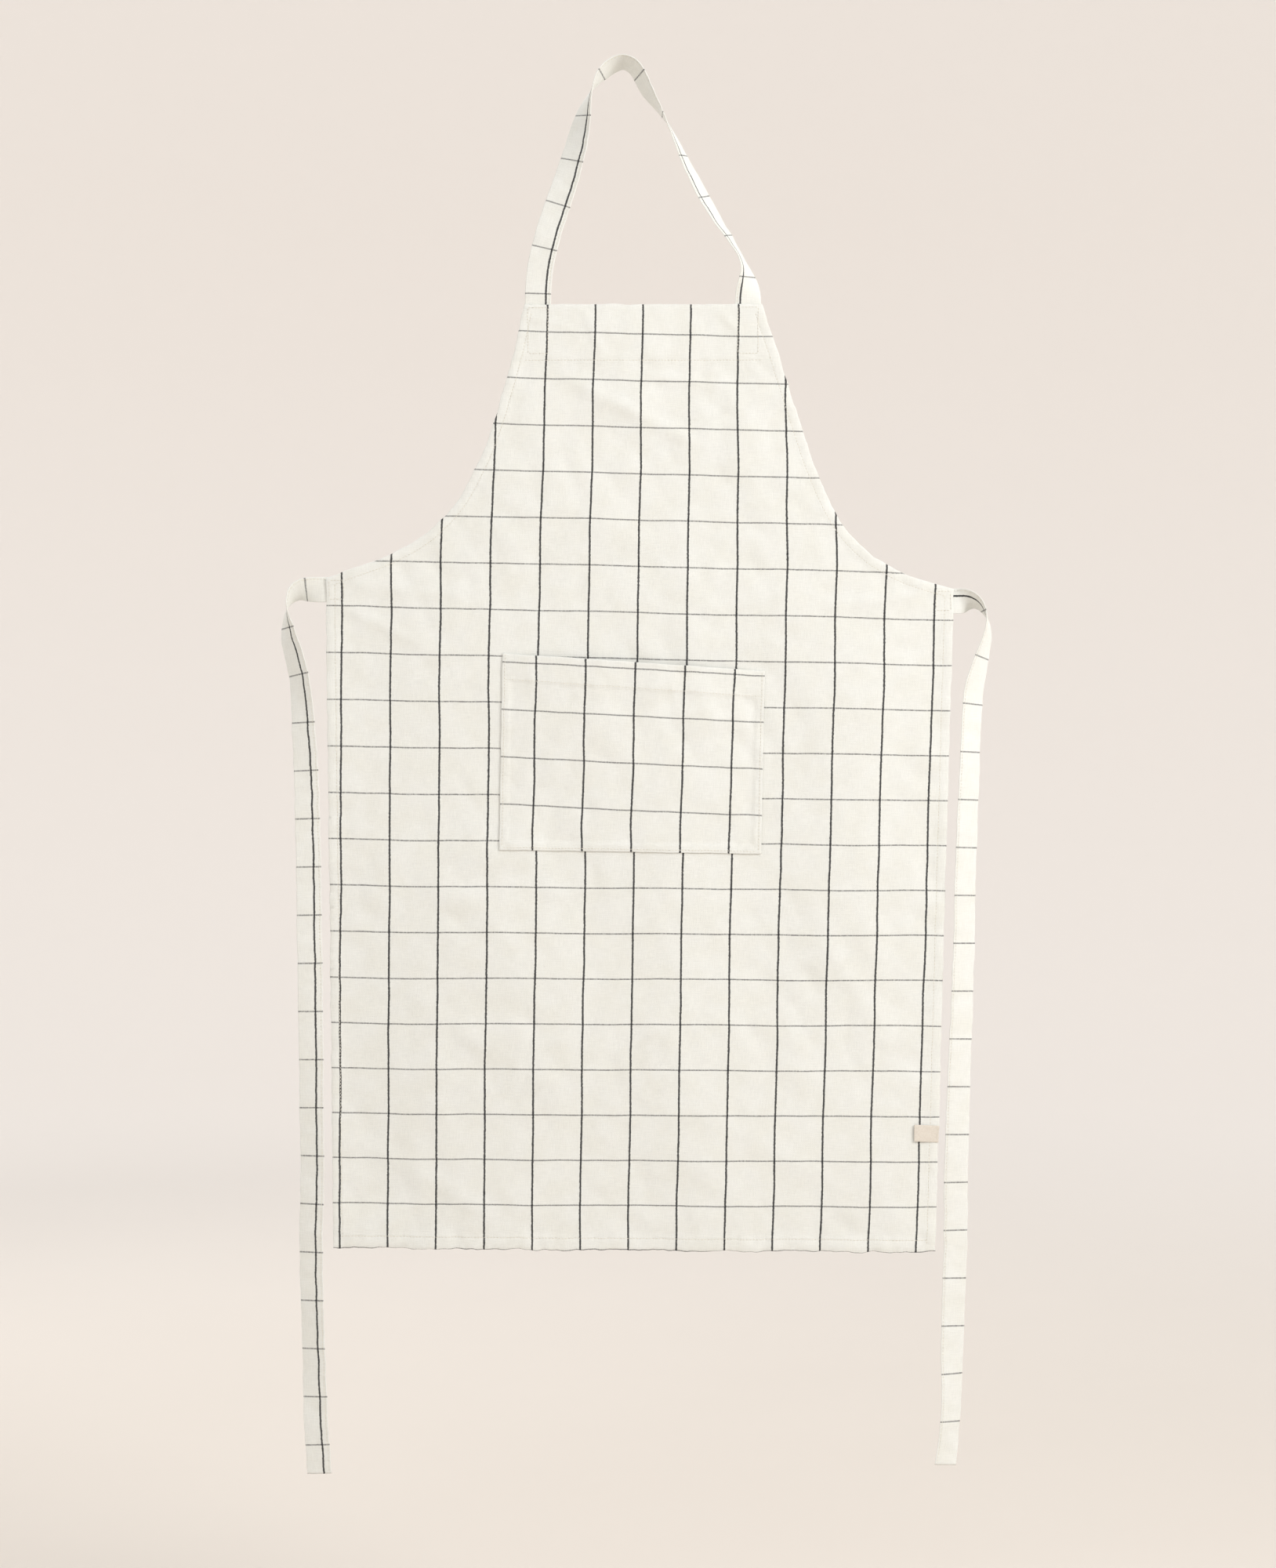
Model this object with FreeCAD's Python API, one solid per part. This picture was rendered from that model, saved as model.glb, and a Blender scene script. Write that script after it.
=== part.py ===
import FreeCAD, Part

import math
import os

# A bib apron hanging by its neck strap from a hook, in millimetres. The front faces -Y, +X is to
# the right of someone who faces it, +Z is up, and the origin is the point on the underside of the
# strap where the hook's arm carries it. Flat shapes are drawn as (across, up) pairs on y = 0 and
# then given their levels, which count from the middle of the panel's cloth towards the back.

# Cloth, bands and sewing thread
CLOTH = 0.7
BAND = 1.4
STRAP_WIDTH = 25.0
TIE_WIDTH = 24.0
THREAD_WIDTH = 0.5
THREAD_HEIGHT = 0.3
THREAD_LIFT = 0.05

# The outline. The body leans a little, so the left and right corners have their own heights.
BIB_TOP = -231.0
BIB_WIDTH = 227.0
BIB_CENTRE = 17.5
WAIST_LEFT = (-286.0, -493.0)
WAIST_RIGHT = (315.0, -504.0)
HEM_LEFT = (-279.0, -1134.0)
HEM_RIGHT = (297.5, -1138.0)
ARMHOLE_LEFT_HANDLES = ((-47.0, -223.0), (101.0, 36.0))
ARMHOLE_RIGHT_HANDLES = ((66.0, -194.0), (-125.0, 31.0))

# Turned hems, and how far inside a hem's raw edge its seam runs
BIB_HEM = 55.0
SIDE_HEM = 10.0
BOTTOM_HEM = 13.0
SEAM_INSIDE = 1.5
ARMHOLE_STEPS = 16

# Patch pocket: corners, top hem, sewn margin and how far the mouth stands open
POCKET_TOP = ((-117.0, -565.0), (134.0, -582.0))
POCKET_BOTTOM = ((-120.0, -753.0), (130.5, -757.0))
POCKET_HEM = 26.0
POCKET_MARGIN = 6.0
POCKET_SEAM = 2.6
POCKET_GAPE = 7.5
POCKET_STEPS = 8

# Sewn ends of the bands. The stretch of strap in FLEX_GAP bends as a hinge.
STRAP_END = 50.0
STRAP_INSET = 0.5
FLEX_GAP = 6.0
TIE_END = 22.0
TIE_END_OUT = 2.0
TIE_DROP = 11.0
TIE_GAP = 2.5
BAND_SEAM = 2.0
BOX_SEAM = 3.0

# Folded label on the right side hem: its sewn end, the gap that bends, and the free part
LABEL_UP = -1024.5
LABEL_HEIGHT = 16.0
LABEL_FREE = 20.5
LABEL_SEWN = 3.0
LABEL_GAP = 0.5
LABEL_CLOTH = 0.6
LABEL_LIFT = 0.5

# Levels through the thickness, from the front to the back
PANEL_FRONT = -CLOTH / 2
PANEL_BACK = CLOTH / 2
HEM_BACK = PANEL_BACK + CLOTH
BAND_MIDDLE = HEM_BACK + BAND / 2
BAND_BACK = HEM_BACK + BAND
LABEL_BACK = PANEL_FRONT - LABEL_LIFT
LABEL_FRONT = LABEL_BACK - LABEL_CLOTH

BIB_LEFT = (BIB_CENTRE - BIB_WIDTH / 2, BIB_TOP)
BIB_RIGHT = (BIB_CENTRE + BIB_WIDTH / 2, BIB_TOP)
STRAP_LEFT = BIB_LEFT[0] + STRAP_INSET + STRAP_WIDTH / 2
STRAP_RIGHT = BIB_RIGHT[0] - STRAP_INSET - STRAP_WIDTH / 2
TIE_LEFT = (WAIST_LEFT[0] - TIE_END_OUT, WAIST_LEFT[1] - TIE_DROP)
TIE_RIGHT = (WAIST_RIGHT[0] + TIE_END_OUT, WAIST_RIGHT[1] - TIE_DROP)
TIE_ENDS = (("left", TIE_LEFT, 1), ("right", TIE_RIGHT, -1))

# Routes of the bands' middle lines: (across, up, turn). At turn 0 a band lies flat with its front
# face to the front, at 90 it stands on edge with its seam edge foremost, and at 180 it lies flat
# with its reverse to the front.
STRAP_ROUTE = (
    (STRAP_LEFT, BIB_TOP + FLEX_GAP, 0),
    (-82.0, -206.0, 0),
    (-76.0, -175.0, 4),
    (-64.5, -137.0, 8),
    (-50.5, -94.0, 24),
    (-40.0, -50.0, 52),
    (-29.0, -20.0, 92),
    (-15.0, -4.0, 112),
    (0.0, 0.7, 112),
    (11.0, -7.0, 115),
    (20.0, -23.0, 114),
    (37.0, -50.0, 90),
    (58.0, -93.0, 68),
    (79.0, -133.0, 61),
    (102.0, -170.0, 72),
    (116.0, -197.0, 66),
    (STRAP_RIGHT, BIB_TOP + FLEX_GAP, 8),
)
TIE_LEFT_ROUTE = (
    (TIE_LEFT[0] - TIE_GAP, TIE_LEFT[1], 180),
    (-300.5, -503.8, 166),
    (-312.0, -505.5, 140),
    (-320.5, -514.0, 102),
    (-324.0, -527.0, 76),
    (-323.0, -541.0, 54),
    (-312.5, -585.0, 32),
    (-307.5, -634.0, 18),
    (-305.0, -681.0, 6),
    (-302.5, -775.0, 0),
    (-301.0, -870.0, 0),
    (-300.0, -964.0, 8),
    (-299.0, -1055.0, 14),
    (-300.0, -1145.0, 16),
    (-297.5, -1235.0, 20),
    (-296.0, -1283.0, 12),
    (-292.5, -1350.0, 10),
)
TIE_RIGHT_ROUTE = (
    (TIE_RIGHT[0] + TIE_GAP, TIE_RIGHT[1], 180),
    (328.0, -514.6, 150),
    (337.0, -517.0, 116),
    (345.0, -527.0, 90),
    (348.0, -543.0, 70),
    (343.5, -563.0, 56),
    (336.5, -590.0, 38),
    (332.0, -634.0, 34),
    (330.0, -681.0, 31),
    (326.5, -776.0, 28),
    (324.0, -872.0, 25),
    (320.5, -964.0, 20),
    (317.5, -1057.0, 14),
    (316.5, -1147.0, 14),
    (313.5, -1231.0, 22),
    (311.5, -1300.0, 34),
    (307.0, -1342.0, 26),
)
SECTIONS_PER_SPAN = 3


def place(across, level, up):
    return FreeCAD.Vector(across, level, up)


def flat(corners):
    """A face on y = 0 with the given corners."""
    points = [place(across, 0, up) for across, up in corners]
    return Part.Face(Part.makePolygon(points + points[:1]))


def rectangle(left, right, low, high):
    return flat([(left, low), (right, low), (right, high), (left, high)])


def slab(face, front, back):
    """A face on y = 0, made into a solid between two levels."""
    return face.translated(place(0, front, 0)).extrude(place(0, back - front, 0))


def beside(start, end, distance):
    """The line from start to end, moved to its own right by a distance."""
    length = math.dist(start, end)
    right = ((end[1] - start[1]) / length, (start[0] - end[0]) / length)
    return [(p[0] + right[0] * distance, p[1] + right[1] * distance) for p in (start, end)]


def strip(start, end, nearest, farthest):
    """The strip to the right of a line, between two distances from it."""
    return flat(beside(start, end, nearest) + beside(start, end, farthest)[::-1])


def thread_row(start, end):
    return strip(start, end, -THREAD_WIDTH / 2, THREAD_WIDTH / 2)


def sewn(row, front, back, covered=None):
    """A row of thread as it shows on the front and on the back of what it joins."""
    back_row = row.cut(covered) if covered else row
    return Part.makeCompound([
        slab(row, front - THREAD_LIFT - THREAD_HEIGHT, front - THREAD_LIFT),
        slab(back_row, back + THREAD_LIFT, back + THREAD_LIFT + THREAD_HEIGHT),
    ])


# The panel

def armhole(side):
    """The curve of one armhole, from the bib's corner down to the waist corner."""
    bib_corner, waist_corner, (bib_handle, waist_handle) = {
        "left": (BIB_LEFT, WAIST_LEFT, ARMHOLE_LEFT_HANDLES),
        "right": (BIB_RIGHT, WAIST_RIGHT, ARMHOLE_RIGHT_HANDLES),
    }[side]
    curve = Part.BezierCurve()
    curve.setPoles([
        place(bib_corner[0], 0, bib_corner[1]),
        place(bib_corner[0] + bib_handle[0], 0, bib_corner[1] + bib_handle[1]),
        place(waist_corner[0] + waist_handle[0], 0, waist_corner[1] + waist_handle[1]),
        place(waist_corner[0], 0, waist_corner[1]),
    ])
    return curve


def armhole_inset(side, distance):
    """The armhole's curve, moved into the cloth by a distance."""
    curve = armhole(side)
    inward = 1 if side == "right" else -1
    points = []
    for i in range(ARMHOLE_STEPS + 1):
        share = i / ARMHOLE_STEPS
        along = curve.tangent(share)[0]
        points.append(curve.value(share) + place(along.z, 0, -along.x) * inward * distance)
    inset = Part.BSplineCurve()
    inset.interpolate(points)
    return inset.toShape()


def armhole_strip(side, nearest, farthest):
    """The strip along an armhole, between two distances inside its edge."""
    near = armhole_inset(side, nearest)
    far = armhole_inset(side, farthest)
    bib_end = Part.makeLine(near.Vertexes[0].Point, far.Vertexes[0].Point)
    waist_end = Part.makeLine(near.Vertexes[-1].Point, far.Vertexes[-1].Point)
    return Part.Face(Part.Wire([near, waist_end, far, bib_end]))


def straight(start, end):
    return Part.makeLine(place(start[0], 0, start[1]), place(end[0], 0, end[1]))


def outline():
    return Part.Face(Part.Wire([
        straight(BIB_LEFT, BIB_RIGHT),
        armhole("right").toShape(),
        straight(WAIST_RIGHT, HEM_RIGHT),
        straight(HEM_RIGHT, HEM_LEFT),
        straight(HEM_LEFT, WAIST_LEFT),
        armhole("left").toShape(),
    ]))


def panel(whole):
    """One cut of cloth. All its edges are turned to the back, so they are two layers thick."""
    hems = [
        strip(BIB_LEFT, BIB_RIGHT, 0, BIB_HEM),
        strip(HEM_RIGHT, HEM_LEFT, 0, BOTTOM_HEM),
        strip(*side_line("left"), 0, SIDE_HEM),
        strip(*side_line("right"), 0, SIDE_HEM),
        armhole_strip("left", -1, SIDE_HEM),
        armhole_strip("right", -1, SIDE_HEM),
    ]
    solid = slab(whole, PANEL_FRONT, PANEL_BACK)
    for hem in hems:
        solid = solid.fuse(slab(hem.common(whole), PANEL_BACK, HEM_BACK))
    return solid.removeSplitter()


def side_line(side):
    """The straight side edge, run so that the cloth is on its right."""
    return {"left": (HEM_LEFT, WAIST_LEFT), "right": (WAIST_RIGHT, HEM_RIGHT)}[side]


def side_rows(side):
    """The rows of thread of one armhole and of the side edge below it."""
    nearest = SIDE_HEM - SEAM_INSIDE - THREAD_WIDTH / 2
    farthest = nearest + THREAD_WIDTH
    waist = {"left": WAIST_LEFT, "right": WAIST_RIGHT}[side][1]
    hem = {"left": HEM_LEFT, "right": HEM_RIGHT}[side][1]
    reach = 2 * BIB_WIDTH
    below_bib_hem = rectangle(-reach, reach, waist - 2 * SIDE_HEM, BIB_TOP - BIB_HEM)
    below_waist = rectangle(-reach, reach, hem + BOTTOM_HEM, waist - SIDE_HEM)
    return (armhole_strip(side, nearest, farthest).common(below_bib_hem),
            strip(*side_line(side), nearest, farthest).common(below_waist))


def hem_row(start, end, hem, whole):
    """A row of thread along a straight hem, as far as the panel reaches."""
    row_start, row_end = beside(start, end, hem - SEAM_INSIDE)
    spare = (row_end[0] - row_start[0], row_end[1] - row_start[1])
    longer = thread_row((row_start[0] - spare[0], row_start[1] - spare[1]),
                        (row_end[0] + spare[0], row_end[1] + spare[1]))
    return longer.common(whole)


def hem_stitching(whole):
    """The seams of the bib hem, the armholes, the sides and the bottom hem."""
    parts = {}
    for side, outer, inward in TIE_ENDS:
        armhole_row, side_row = side_rows(side)
        tie_end = tie_end_face(outer, inward)
        parts["armhole_stitching_" + side] = sewn(armhole_row, PANEL_FRONT, HEM_BACK, tie_end)
        parts["side_stitching_" + side] = sewn(side_row, PANEL_FRONT, HEM_BACK, tie_end)
    bib_row = hem_row(BIB_LEFT, BIB_RIGHT, BIB_HEM, whole)
    bottom_row = hem_row(HEM_RIGHT, HEM_LEFT, BOTTOM_HEM, whole)
    parts["bib_hem_stitching"] = sewn(bib_row, PANEL_FRONT, HEM_BACK)
    parts["bottom_hem_stitching"] = sewn(bottom_row, PANEL_FRONT, HEM_BACK)
    return parts


# The pocket

def pocket_point(across, down):
    """A point of the pocket's patch, from (0, 0) at the top left to (1, 1) at the lower right."""
    def between(a, b, share):
        return (a[0] + (b[0] - a[0]) * share, a[1] + (b[1] - a[1]) * share)
    return between(between(*POCKET_TOP, across), between(*POCKET_BOTTOM, across), down)


POCKET_WIDTH = math.dist(*POCKET_TOP)
POCKET_HEIGHT = math.dist(POCKET_TOP[0], POCKET_BOTTOM[0])
SIDE_SHARE = POCKET_MARGIN / POCKET_WIDTH
FLAT_SHARE = 1 - POCKET_MARGIN / POCKET_HEIGHT
HEM_SHARE = POCKET_HEM / POCKET_HEIGHT


def pocket_gape(across, down):
    """How far the pocket stands off the panel: most in the middle of its mouth."""
    share = (across - SIDE_SHARE) / (1 - 2 * SIDE_SHARE)
    return POCKET_GAPE * 4 * share * (1 - share) * max(0, 1 - down / FLAT_SHARE)


def pocket_section(down, lift, thickness, inset):
    """A level cut through the pocket's cloth, as a closed wire."""
    def point(across, level):
        x, z = pocket_point(across, down)
        return place(x, PANEL_FRONT - level, z)

    def curved(level):
        shares = [SIDE_SHARE + (1 - 2 * SIDE_SHARE) * i / POCKET_STEPS
                  for i in range(POCKET_STEPS + 1)]
        line = Part.BSplineCurve()
        line.interpolate([point(s, level + pocket_gape(s, down)) for s in shares])
        return line.toShape()

    end = inset / POCKET_WIDTH
    near, far = lift, lift + thickness
    left, right = SIDE_SHARE, 1 - SIDE_SHARE
    return Part.Wire([
        Part.makeLine(point(end, near), point(left, near)),
        curved(near),
        Part.makeLine(point(right, near), point(1 - end, near)),
        Part.makeLine(point(1 - end, near), point(1 - end, far)),
        Part.makeLine(point(1 - end, far), point(right, far)),
        curved(far),
        Part.makeLine(point(left, far), point(end, far)),
        Part.makeLine(point(end, far), point(end, near)),
    ])


def pocket_layer(top, bottom, lift, thickness, inset=0.0):
    sections = [pocket_section(down, lift, thickness, inset) for down in (top, bottom)]
    return Part.makeLoft(sections, True, True)


def pocket():
    """A patch sewn down on three sides, with its mouth hemmed to the inside."""
    hem = pocket_layer(0, HEM_SHARE, 0, 2 * CLOTH)
    body = pocket_layer(HEM_SHARE, FLAT_SHARE, 0, CLOTH)
    foot = pocket_layer(FLAT_SHARE, 1, 0, CLOTH)
    return hem.fuse([body, foot]).removeSplitter()


def pocket_edge_stitching():
    """The row that holds the pocket's sides and bottom to the panel."""
    side = POCKET_SEAM / POCKET_WIDTH
    foot = 1 - POCKET_SEAM / POCKET_HEIGHT
    below_hem = HEM_SHARE + THREAD_WIDTH / POCKET_HEIGHT
    front = PANEL_FRONT - CLOTH
    hem_front = front - CLOTH
    rows = []
    for across in (side, 1 - side):
        on_hem = thread_row(pocket_point(across, 0), pocket_point(across, HEM_SHARE))
        on_body = thread_row(pocket_point(across, below_hem), pocket_point(across, foot))
        rows.append(sewn(on_hem, hem_front, PANEL_BACK))
        rows.append(sewn(on_body, front, PANEL_BACK))
    gap = THREAD_WIDTH / POCKET_WIDTH
    foot_row = thread_row(pocket_point(side + gap, foot), pocket_point(1 - side - gap, foot))
    rows.append(sewn(foot_row, front, PANEL_BACK))
    return Part.makeCompound(rows)


def pocket_hem_stitching():
    half = THREAD_WIDTH / 2 / POCKET_HEIGHT
    middle = HEM_SHARE - SEAM_INSIDE / POCKET_HEIGHT
    lift = 2 * CLOTH + THREAD_LIFT
    clear = POCKET_SEAM + THREAD_WIDTH
    return pocket_layer(middle - half, middle + half, lift, THREAD_HEIGHT, clear)


# The neck strap and the waist ties

def band_stations(route, side):
    """Distance, centre, width direction and facing direction at steps along a band's route."""
    distances = [0.0]
    for before, after in zip(route, route[1:]):
        distances.append(distances[-1] + math.dist(before[:2], after[:2]))
    line = Part.BSplineCurve()
    line.interpolate(Points=[place(x, BAND_MIDDLE, z) for x, z, turn in route],
                     Parameters=distances)
    turns = Part.BSplineCurve()
    turns.interpolate(Points=[place(distance, turn, 0)
                              for distance, (x, z, turn) in zip(distances, route)],
                      Parameters=distances)
    steps = []
    for before, after in zip(distances, distances[1:]):
        steps += [before + (after - before) * i / SECTIONS_PER_SPAN
                  for i in range(SECTIONS_PER_SPAN)]
    stations = []
    for distance in steps + distances[-1:]:
        along = line.tangent(distance)[0]
        inside = place(side * along.z, 0, -side * along.x)
        turn = math.radians(turns.value(distance).y)
        width = inside * math.cos(turn) + place(0, -1, 0) * math.sin(turn)
        stations.append((distance, line.value(distance), width, along.cross(width)))
    return stations


def band_solid(stations, centre_across, centre_out, width, thickness):
    """A rectangle carried along a band, at an offset across it and out from its middle."""
    distances = [station[0] for station in stations]
    corner_lines = []
    corner_curves = []
    for a, b in ((-1, -1), (1, -1), (1, 1), (-1, 1)):
        line = [centre + across * (centre_across + a * width / 2)
                + out * (centre_out + b * thickness / 2)
                for distance, centre, across, out in stations]
        curve = Part.BSplineCurve()
        curve.interpolate(Points=line, Parameters=distances)
        corner_lines.append(line)
        corner_curves.append(curve)
    faces = []
    span_ends = distances[::SECTIONS_PER_SPAN]
    for start, end in zip(span_ends, span_ends[1:]):
        edges = [curve.toShape(start, end) for curve in corner_curves]
        faces += [Part.makeRuledSurface(edge, edges[i - 1]) for i, edge in enumerate(edges)]
    for end in (0, -1):
        corners = [line[end] for line in corner_lines]
        faces.append(Part.Face(Part.makePolygon(corners + corners[:1])))
    shell = Part.makeShell(faces)
    shell.sewShape()
    solid = Part.makeSolid(shell)
    if solid.Volume < 0:
        solid.reverse()
    return solid


def band(route, side, width):
    return band_solid(band_stations(route, side), 0, 0, width, BAND)


def band_stitching(route, side, width):
    """The row that closes the folded band, on both of its faces, near its seam edge."""
    stations = band_stations(route, side)
    out = BAND / 2 + THREAD_LIFT + THREAD_HEIGHT / 2
    across = width / 2 - BAND_SEAM
    return Part.makeCompound([
        band_solid(stations, across, face * out, THREAD_WIDTH, THREAD_HEIGHT)
        for face in (-1, 1)
    ])


def strap_end_face(centre):
    return rectangle(centre - STRAP_WIDTH / 2, centre + STRAP_WIDTH / 2,
                     BIB_TOP - STRAP_END, BIB_TOP)


def tie_end_face(outer, inward):
    across = sorted((outer[0], outer[0] + inward * TIE_END))
    return rectangle(*across, outer[1] - TIE_WIDTH / 2, outer[1] + TIE_WIDTH / 2)


def box_row(left, right, low, high):
    """A closed box of thread."""
    half = THREAD_WIDTH / 2
    outer = rectangle(left - half, right + half, low - half, high + half)
    return outer.cut(rectangle(left + half, right - half, low + half, high - half))


def strap_end_stitching(centre):
    box = box_row(centre - STRAP_WIDTH / 2 + BOX_SEAM, centre + STRAP_WIDTH / 2 - BOX_SEAM,
                  BIB_TOP - STRAP_END + BOX_SEAM, BIB_TOP - BOX_SEAM)
    return sewn(box, PANEL_FRONT, BAND_BACK)


def tie_end_stitching(side, outer, inward):
    across = sorted((outer[0] + inward * (TIE_END_OUT + BOX_SEAM),
                     outer[0] + inward * (TIE_END - BOX_SEAM)))
    box = box_row(*across, outer[1] - TIE_WIDTH / 2 + BOX_SEAM,
                  outer[1] + TIE_WIDTH / 2 - BOX_SEAM)
    for row in side_rows(side):
        box = box.cut(row)
    return sewn(box, PANEL_FRONT, BAND_BACK)


# The label

def side_edge(up):
    """How far out the right side edge is at a height."""
    share = (up - WAIST_RIGHT[1]) / (HEM_RIGHT[1] - WAIST_RIGHT[1])
    return WAIST_RIGHT[0] + (HEM_RIGHT[0] - WAIST_RIGHT[0]) * share


def label_faces():
    """The label's free part and its sewn end."""
    low, high = LABEL_UP - LABEL_HEIGHT / 2, LABEL_UP + LABEL_HEIGHT / 2
    outer = side_edge(high)
    inner = outer - LABEL_SEWN
    free_end = inner - LABEL_GAP
    return (rectangle(free_end - LABEL_FREE, free_end, low, high),
            rectangle(inner, outer, low, high))


def label_stitching():
    box = label_faces()[1].BoundBox
    middle = (box.XMin + box.XMax) / 2
    row = thread_row((middle, box.ZMin + SEAM_INSIDE), (middle, box.ZMax - SEAM_INSIDE))
    return sewn(row, LABEL_FRONT, HEM_BACK)


def main():
    whole = outline()
    label_free, label_sewn = label_faces()
    parts = {
        "apron_panel": panel(whole),
        "pocket": pocket(),
        "pocket_edge_stitching": pocket_edge_stitching(),
        "pocket_hem_stitching": pocket_hem_stitching(),
        "neck_strap": band(STRAP_ROUTE, 1, STRAP_WIDTH),
        "neck_strap_stitching": band_stitching(STRAP_ROUTE, 1, STRAP_WIDTH),
        "label": slab(label_free, LABEL_FRONT, LABEL_BACK),
        "label_end": slab(label_sewn, LABEL_FRONT, LABEL_BACK),
        "label_stitching": label_stitching(),
    }
    parts.update(hem_stitching(whole))
    for side, centre in (("left", STRAP_LEFT), ("right", STRAP_RIGHT)):
        parts["strap_end_" + side] = slab(strap_end_face(centre), HEM_BACK, BAND_BACK)
        parts["strap_end_stitching_" + side] = strap_end_stitching(centre)
    for side, outer, inward in TIE_ENDS:
        route = {"left": TIE_LEFT_ROUTE, "right": TIE_RIGHT_ROUTE}[side]
        parts["tie_end_" + side] = slab(tie_end_face(outer, inward), HEM_BACK, BAND_BACK)
        parts["tie_end_stitching_" + side] = tie_end_stitching(side, outer, inward)
        parts["waist_tie_" + side] = band(route, -inward, TIE_WIDTH)
        parts["waist_tie_stitching_" + side] = band_stitching(route, -inward, TIE_WIDTH)
    os.makedirs("parts", exist_ok=True)
    for name, shape in parts.items():
        shape.exportStep("parts/" + name + ".step")
        print(name, "valid", shape.isValid(), "solids", len(shape.Solids),
              "cubic mm", round(shape.Volume, 1))


main()
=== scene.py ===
import functools
import math

import bpy
import numpy as np
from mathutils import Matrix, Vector
from mathutils.geometry import delaunay_2d_cdt
from mathutils.kdtree import KDTree


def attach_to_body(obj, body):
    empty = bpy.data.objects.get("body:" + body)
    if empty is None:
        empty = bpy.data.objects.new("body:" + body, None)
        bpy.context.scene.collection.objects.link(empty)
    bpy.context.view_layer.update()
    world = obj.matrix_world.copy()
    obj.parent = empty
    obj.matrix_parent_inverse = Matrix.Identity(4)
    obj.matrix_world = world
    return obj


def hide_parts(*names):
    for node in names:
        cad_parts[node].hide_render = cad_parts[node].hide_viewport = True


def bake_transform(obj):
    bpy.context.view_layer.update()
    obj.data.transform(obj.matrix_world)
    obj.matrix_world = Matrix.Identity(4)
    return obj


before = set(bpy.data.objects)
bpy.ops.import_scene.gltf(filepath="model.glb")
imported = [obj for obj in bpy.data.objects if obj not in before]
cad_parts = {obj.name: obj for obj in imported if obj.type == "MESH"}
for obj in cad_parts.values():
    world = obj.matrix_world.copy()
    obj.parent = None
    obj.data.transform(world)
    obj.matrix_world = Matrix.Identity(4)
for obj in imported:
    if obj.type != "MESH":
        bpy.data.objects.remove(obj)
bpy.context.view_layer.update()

# A bib apron of off-white cotton with a woven open check, hanging by its neck strap. Metres. The
# front faces -Y, +X is to the right of someone who faces it, +Z is up. Flat pieces are drawn as
# (across, up) pairs; levels count from the middle of the panel's cloth towards the back.

# Cloth, bands and thread
CLOTH = 0.0007
BAND = 0.0014
STRAP_WIDTH = 0.025
TIE_WIDTH = 0.024
THREAD = 0.00048
STITCH = 0.0023
STITCH_PITCH = 0.0031

# The panel's outline and hems
BIB_TOP = -0.231
BIB_WIDTH = 0.227
BIB_CENTRE = 0.0175
BIB_LEFT = (BIB_CENTRE - BIB_WIDTH / 2, BIB_TOP)
BIB_RIGHT = (BIB_CENTRE + BIB_WIDTH / 2, BIB_TOP)
WAIST_LEFT = (-0.286, -0.493)
WAIST_RIGHT = (0.315, -0.504)
HEM_LEFT = (-0.279, -1.134)
HEM_RIGHT = (0.2975, -1.138)
ARMHOLE_LEFT_HANDLES = ((-0.047, -0.223), (0.101, 0.036))
ARMHOLE_RIGHT_HANDLES = ((0.066, -0.194), (-0.125, 0.031))
BIB_HEM = 0.055
SIDE_HEM = 0.010
BOTTOM_HEM = 0.013
SEAM_INSIDE = 0.0015
NOSE = 0.0006

# The pocket
POCKET_TOP = ((-0.117, -0.565), (0.134, -0.582))
POCKET_BOTTOM = ((-0.120, -0.753), (0.1305, -0.757))
POCKET_HEM = 0.026
POCKET_TURNED = 0.008
POCKET_SEAM = 0.0026
POCKET_GAPE = 0.0050

# Sewn ends of the bands, and the label
STRAP_END = 0.050
STRAP_INSET = 0.0005
TIE_END = 0.022
TIE_END_OUT = 0.002
TIE_DROP = 0.011
BAND_SEAM = 0.002
BOX_SEAM = 0.003
LABEL_UP = -1.0245
LABEL_HEIGHT = 0.016
LABEL_FREE = 0.0205
LABEL_SEWN = 0.003
LABEL_GAP = 0.0005
LABEL_CLOTH = 0.0006

PANEL_FRONT = -CLOTH / 2
PANEL_BACK = CLOTH / 2
HEM_BACK = PANEL_BACK + CLOTH
BAND_MIDDLE = HEM_BACK + BAND / 2
STRAP_LEFT = BIB_LEFT[0] + STRAP_INSET + STRAP_WIDTH / 2
STRAP_RIGHT = BIB_RIGHT[0] - STRAP_INSET - STRAP_WIDTH / 2
TIE_LEFT = (WAIST_LEFT[0] - TIE_END_OUT, WAIST_LEFT[1] - TIE_DROP)
TIE_RIGHT = (WAIST_RIGHT[0] + TIE_END_OUT, WAIST_RIGHT[1] - TIE_DROP)

# Routes of the bands' middle lines: (across, up, turn in degrees). At turn 0 a band lies flat with
# its front face to the front, at 90 it stands on edge with its seam edge foremost, and at 180 it
# lies flat with its reverse to the front.
STRAP_ROUTE = (
    (STRAP_LEFT, BIB_TOP - STRAP_END, 0),
    (STRAP_LEFT, BIB_TOP - 0.020, 0),
    (STRAP_LEFT, BIB_TOP + 0.006, 0),
    (-0.082, -0.206, 0),
    (-0.076, -0.175, 4),
    (-0.0645, -0.137, 8),
    (-0.0505, -0.094, 24),
    (-0.040, -0.050, 52),
    (-0.029, -0.020, 92),
    (-0.015, -0.004, 112),
    (0.0, 0.0007, 112),
    (0.011, -0.007, 115),
    (0.020, -0.023, 114),
    (0.037, -0.050, 90),
    (0.058, -0.093, 68),
    (0.079, -0.133, 61),
    (0.102, -0.170, 72),
    (0.116, -0.197, 66),
    (STRAP_RIGHT, BIB_TOP + 0.006, 8),
    (STRAP_RIGHT, BIB_TOP - 0.020, 0),
    (STRAP_RIGHT, BIB_TOP - STRAP_END, 0),
)
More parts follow.
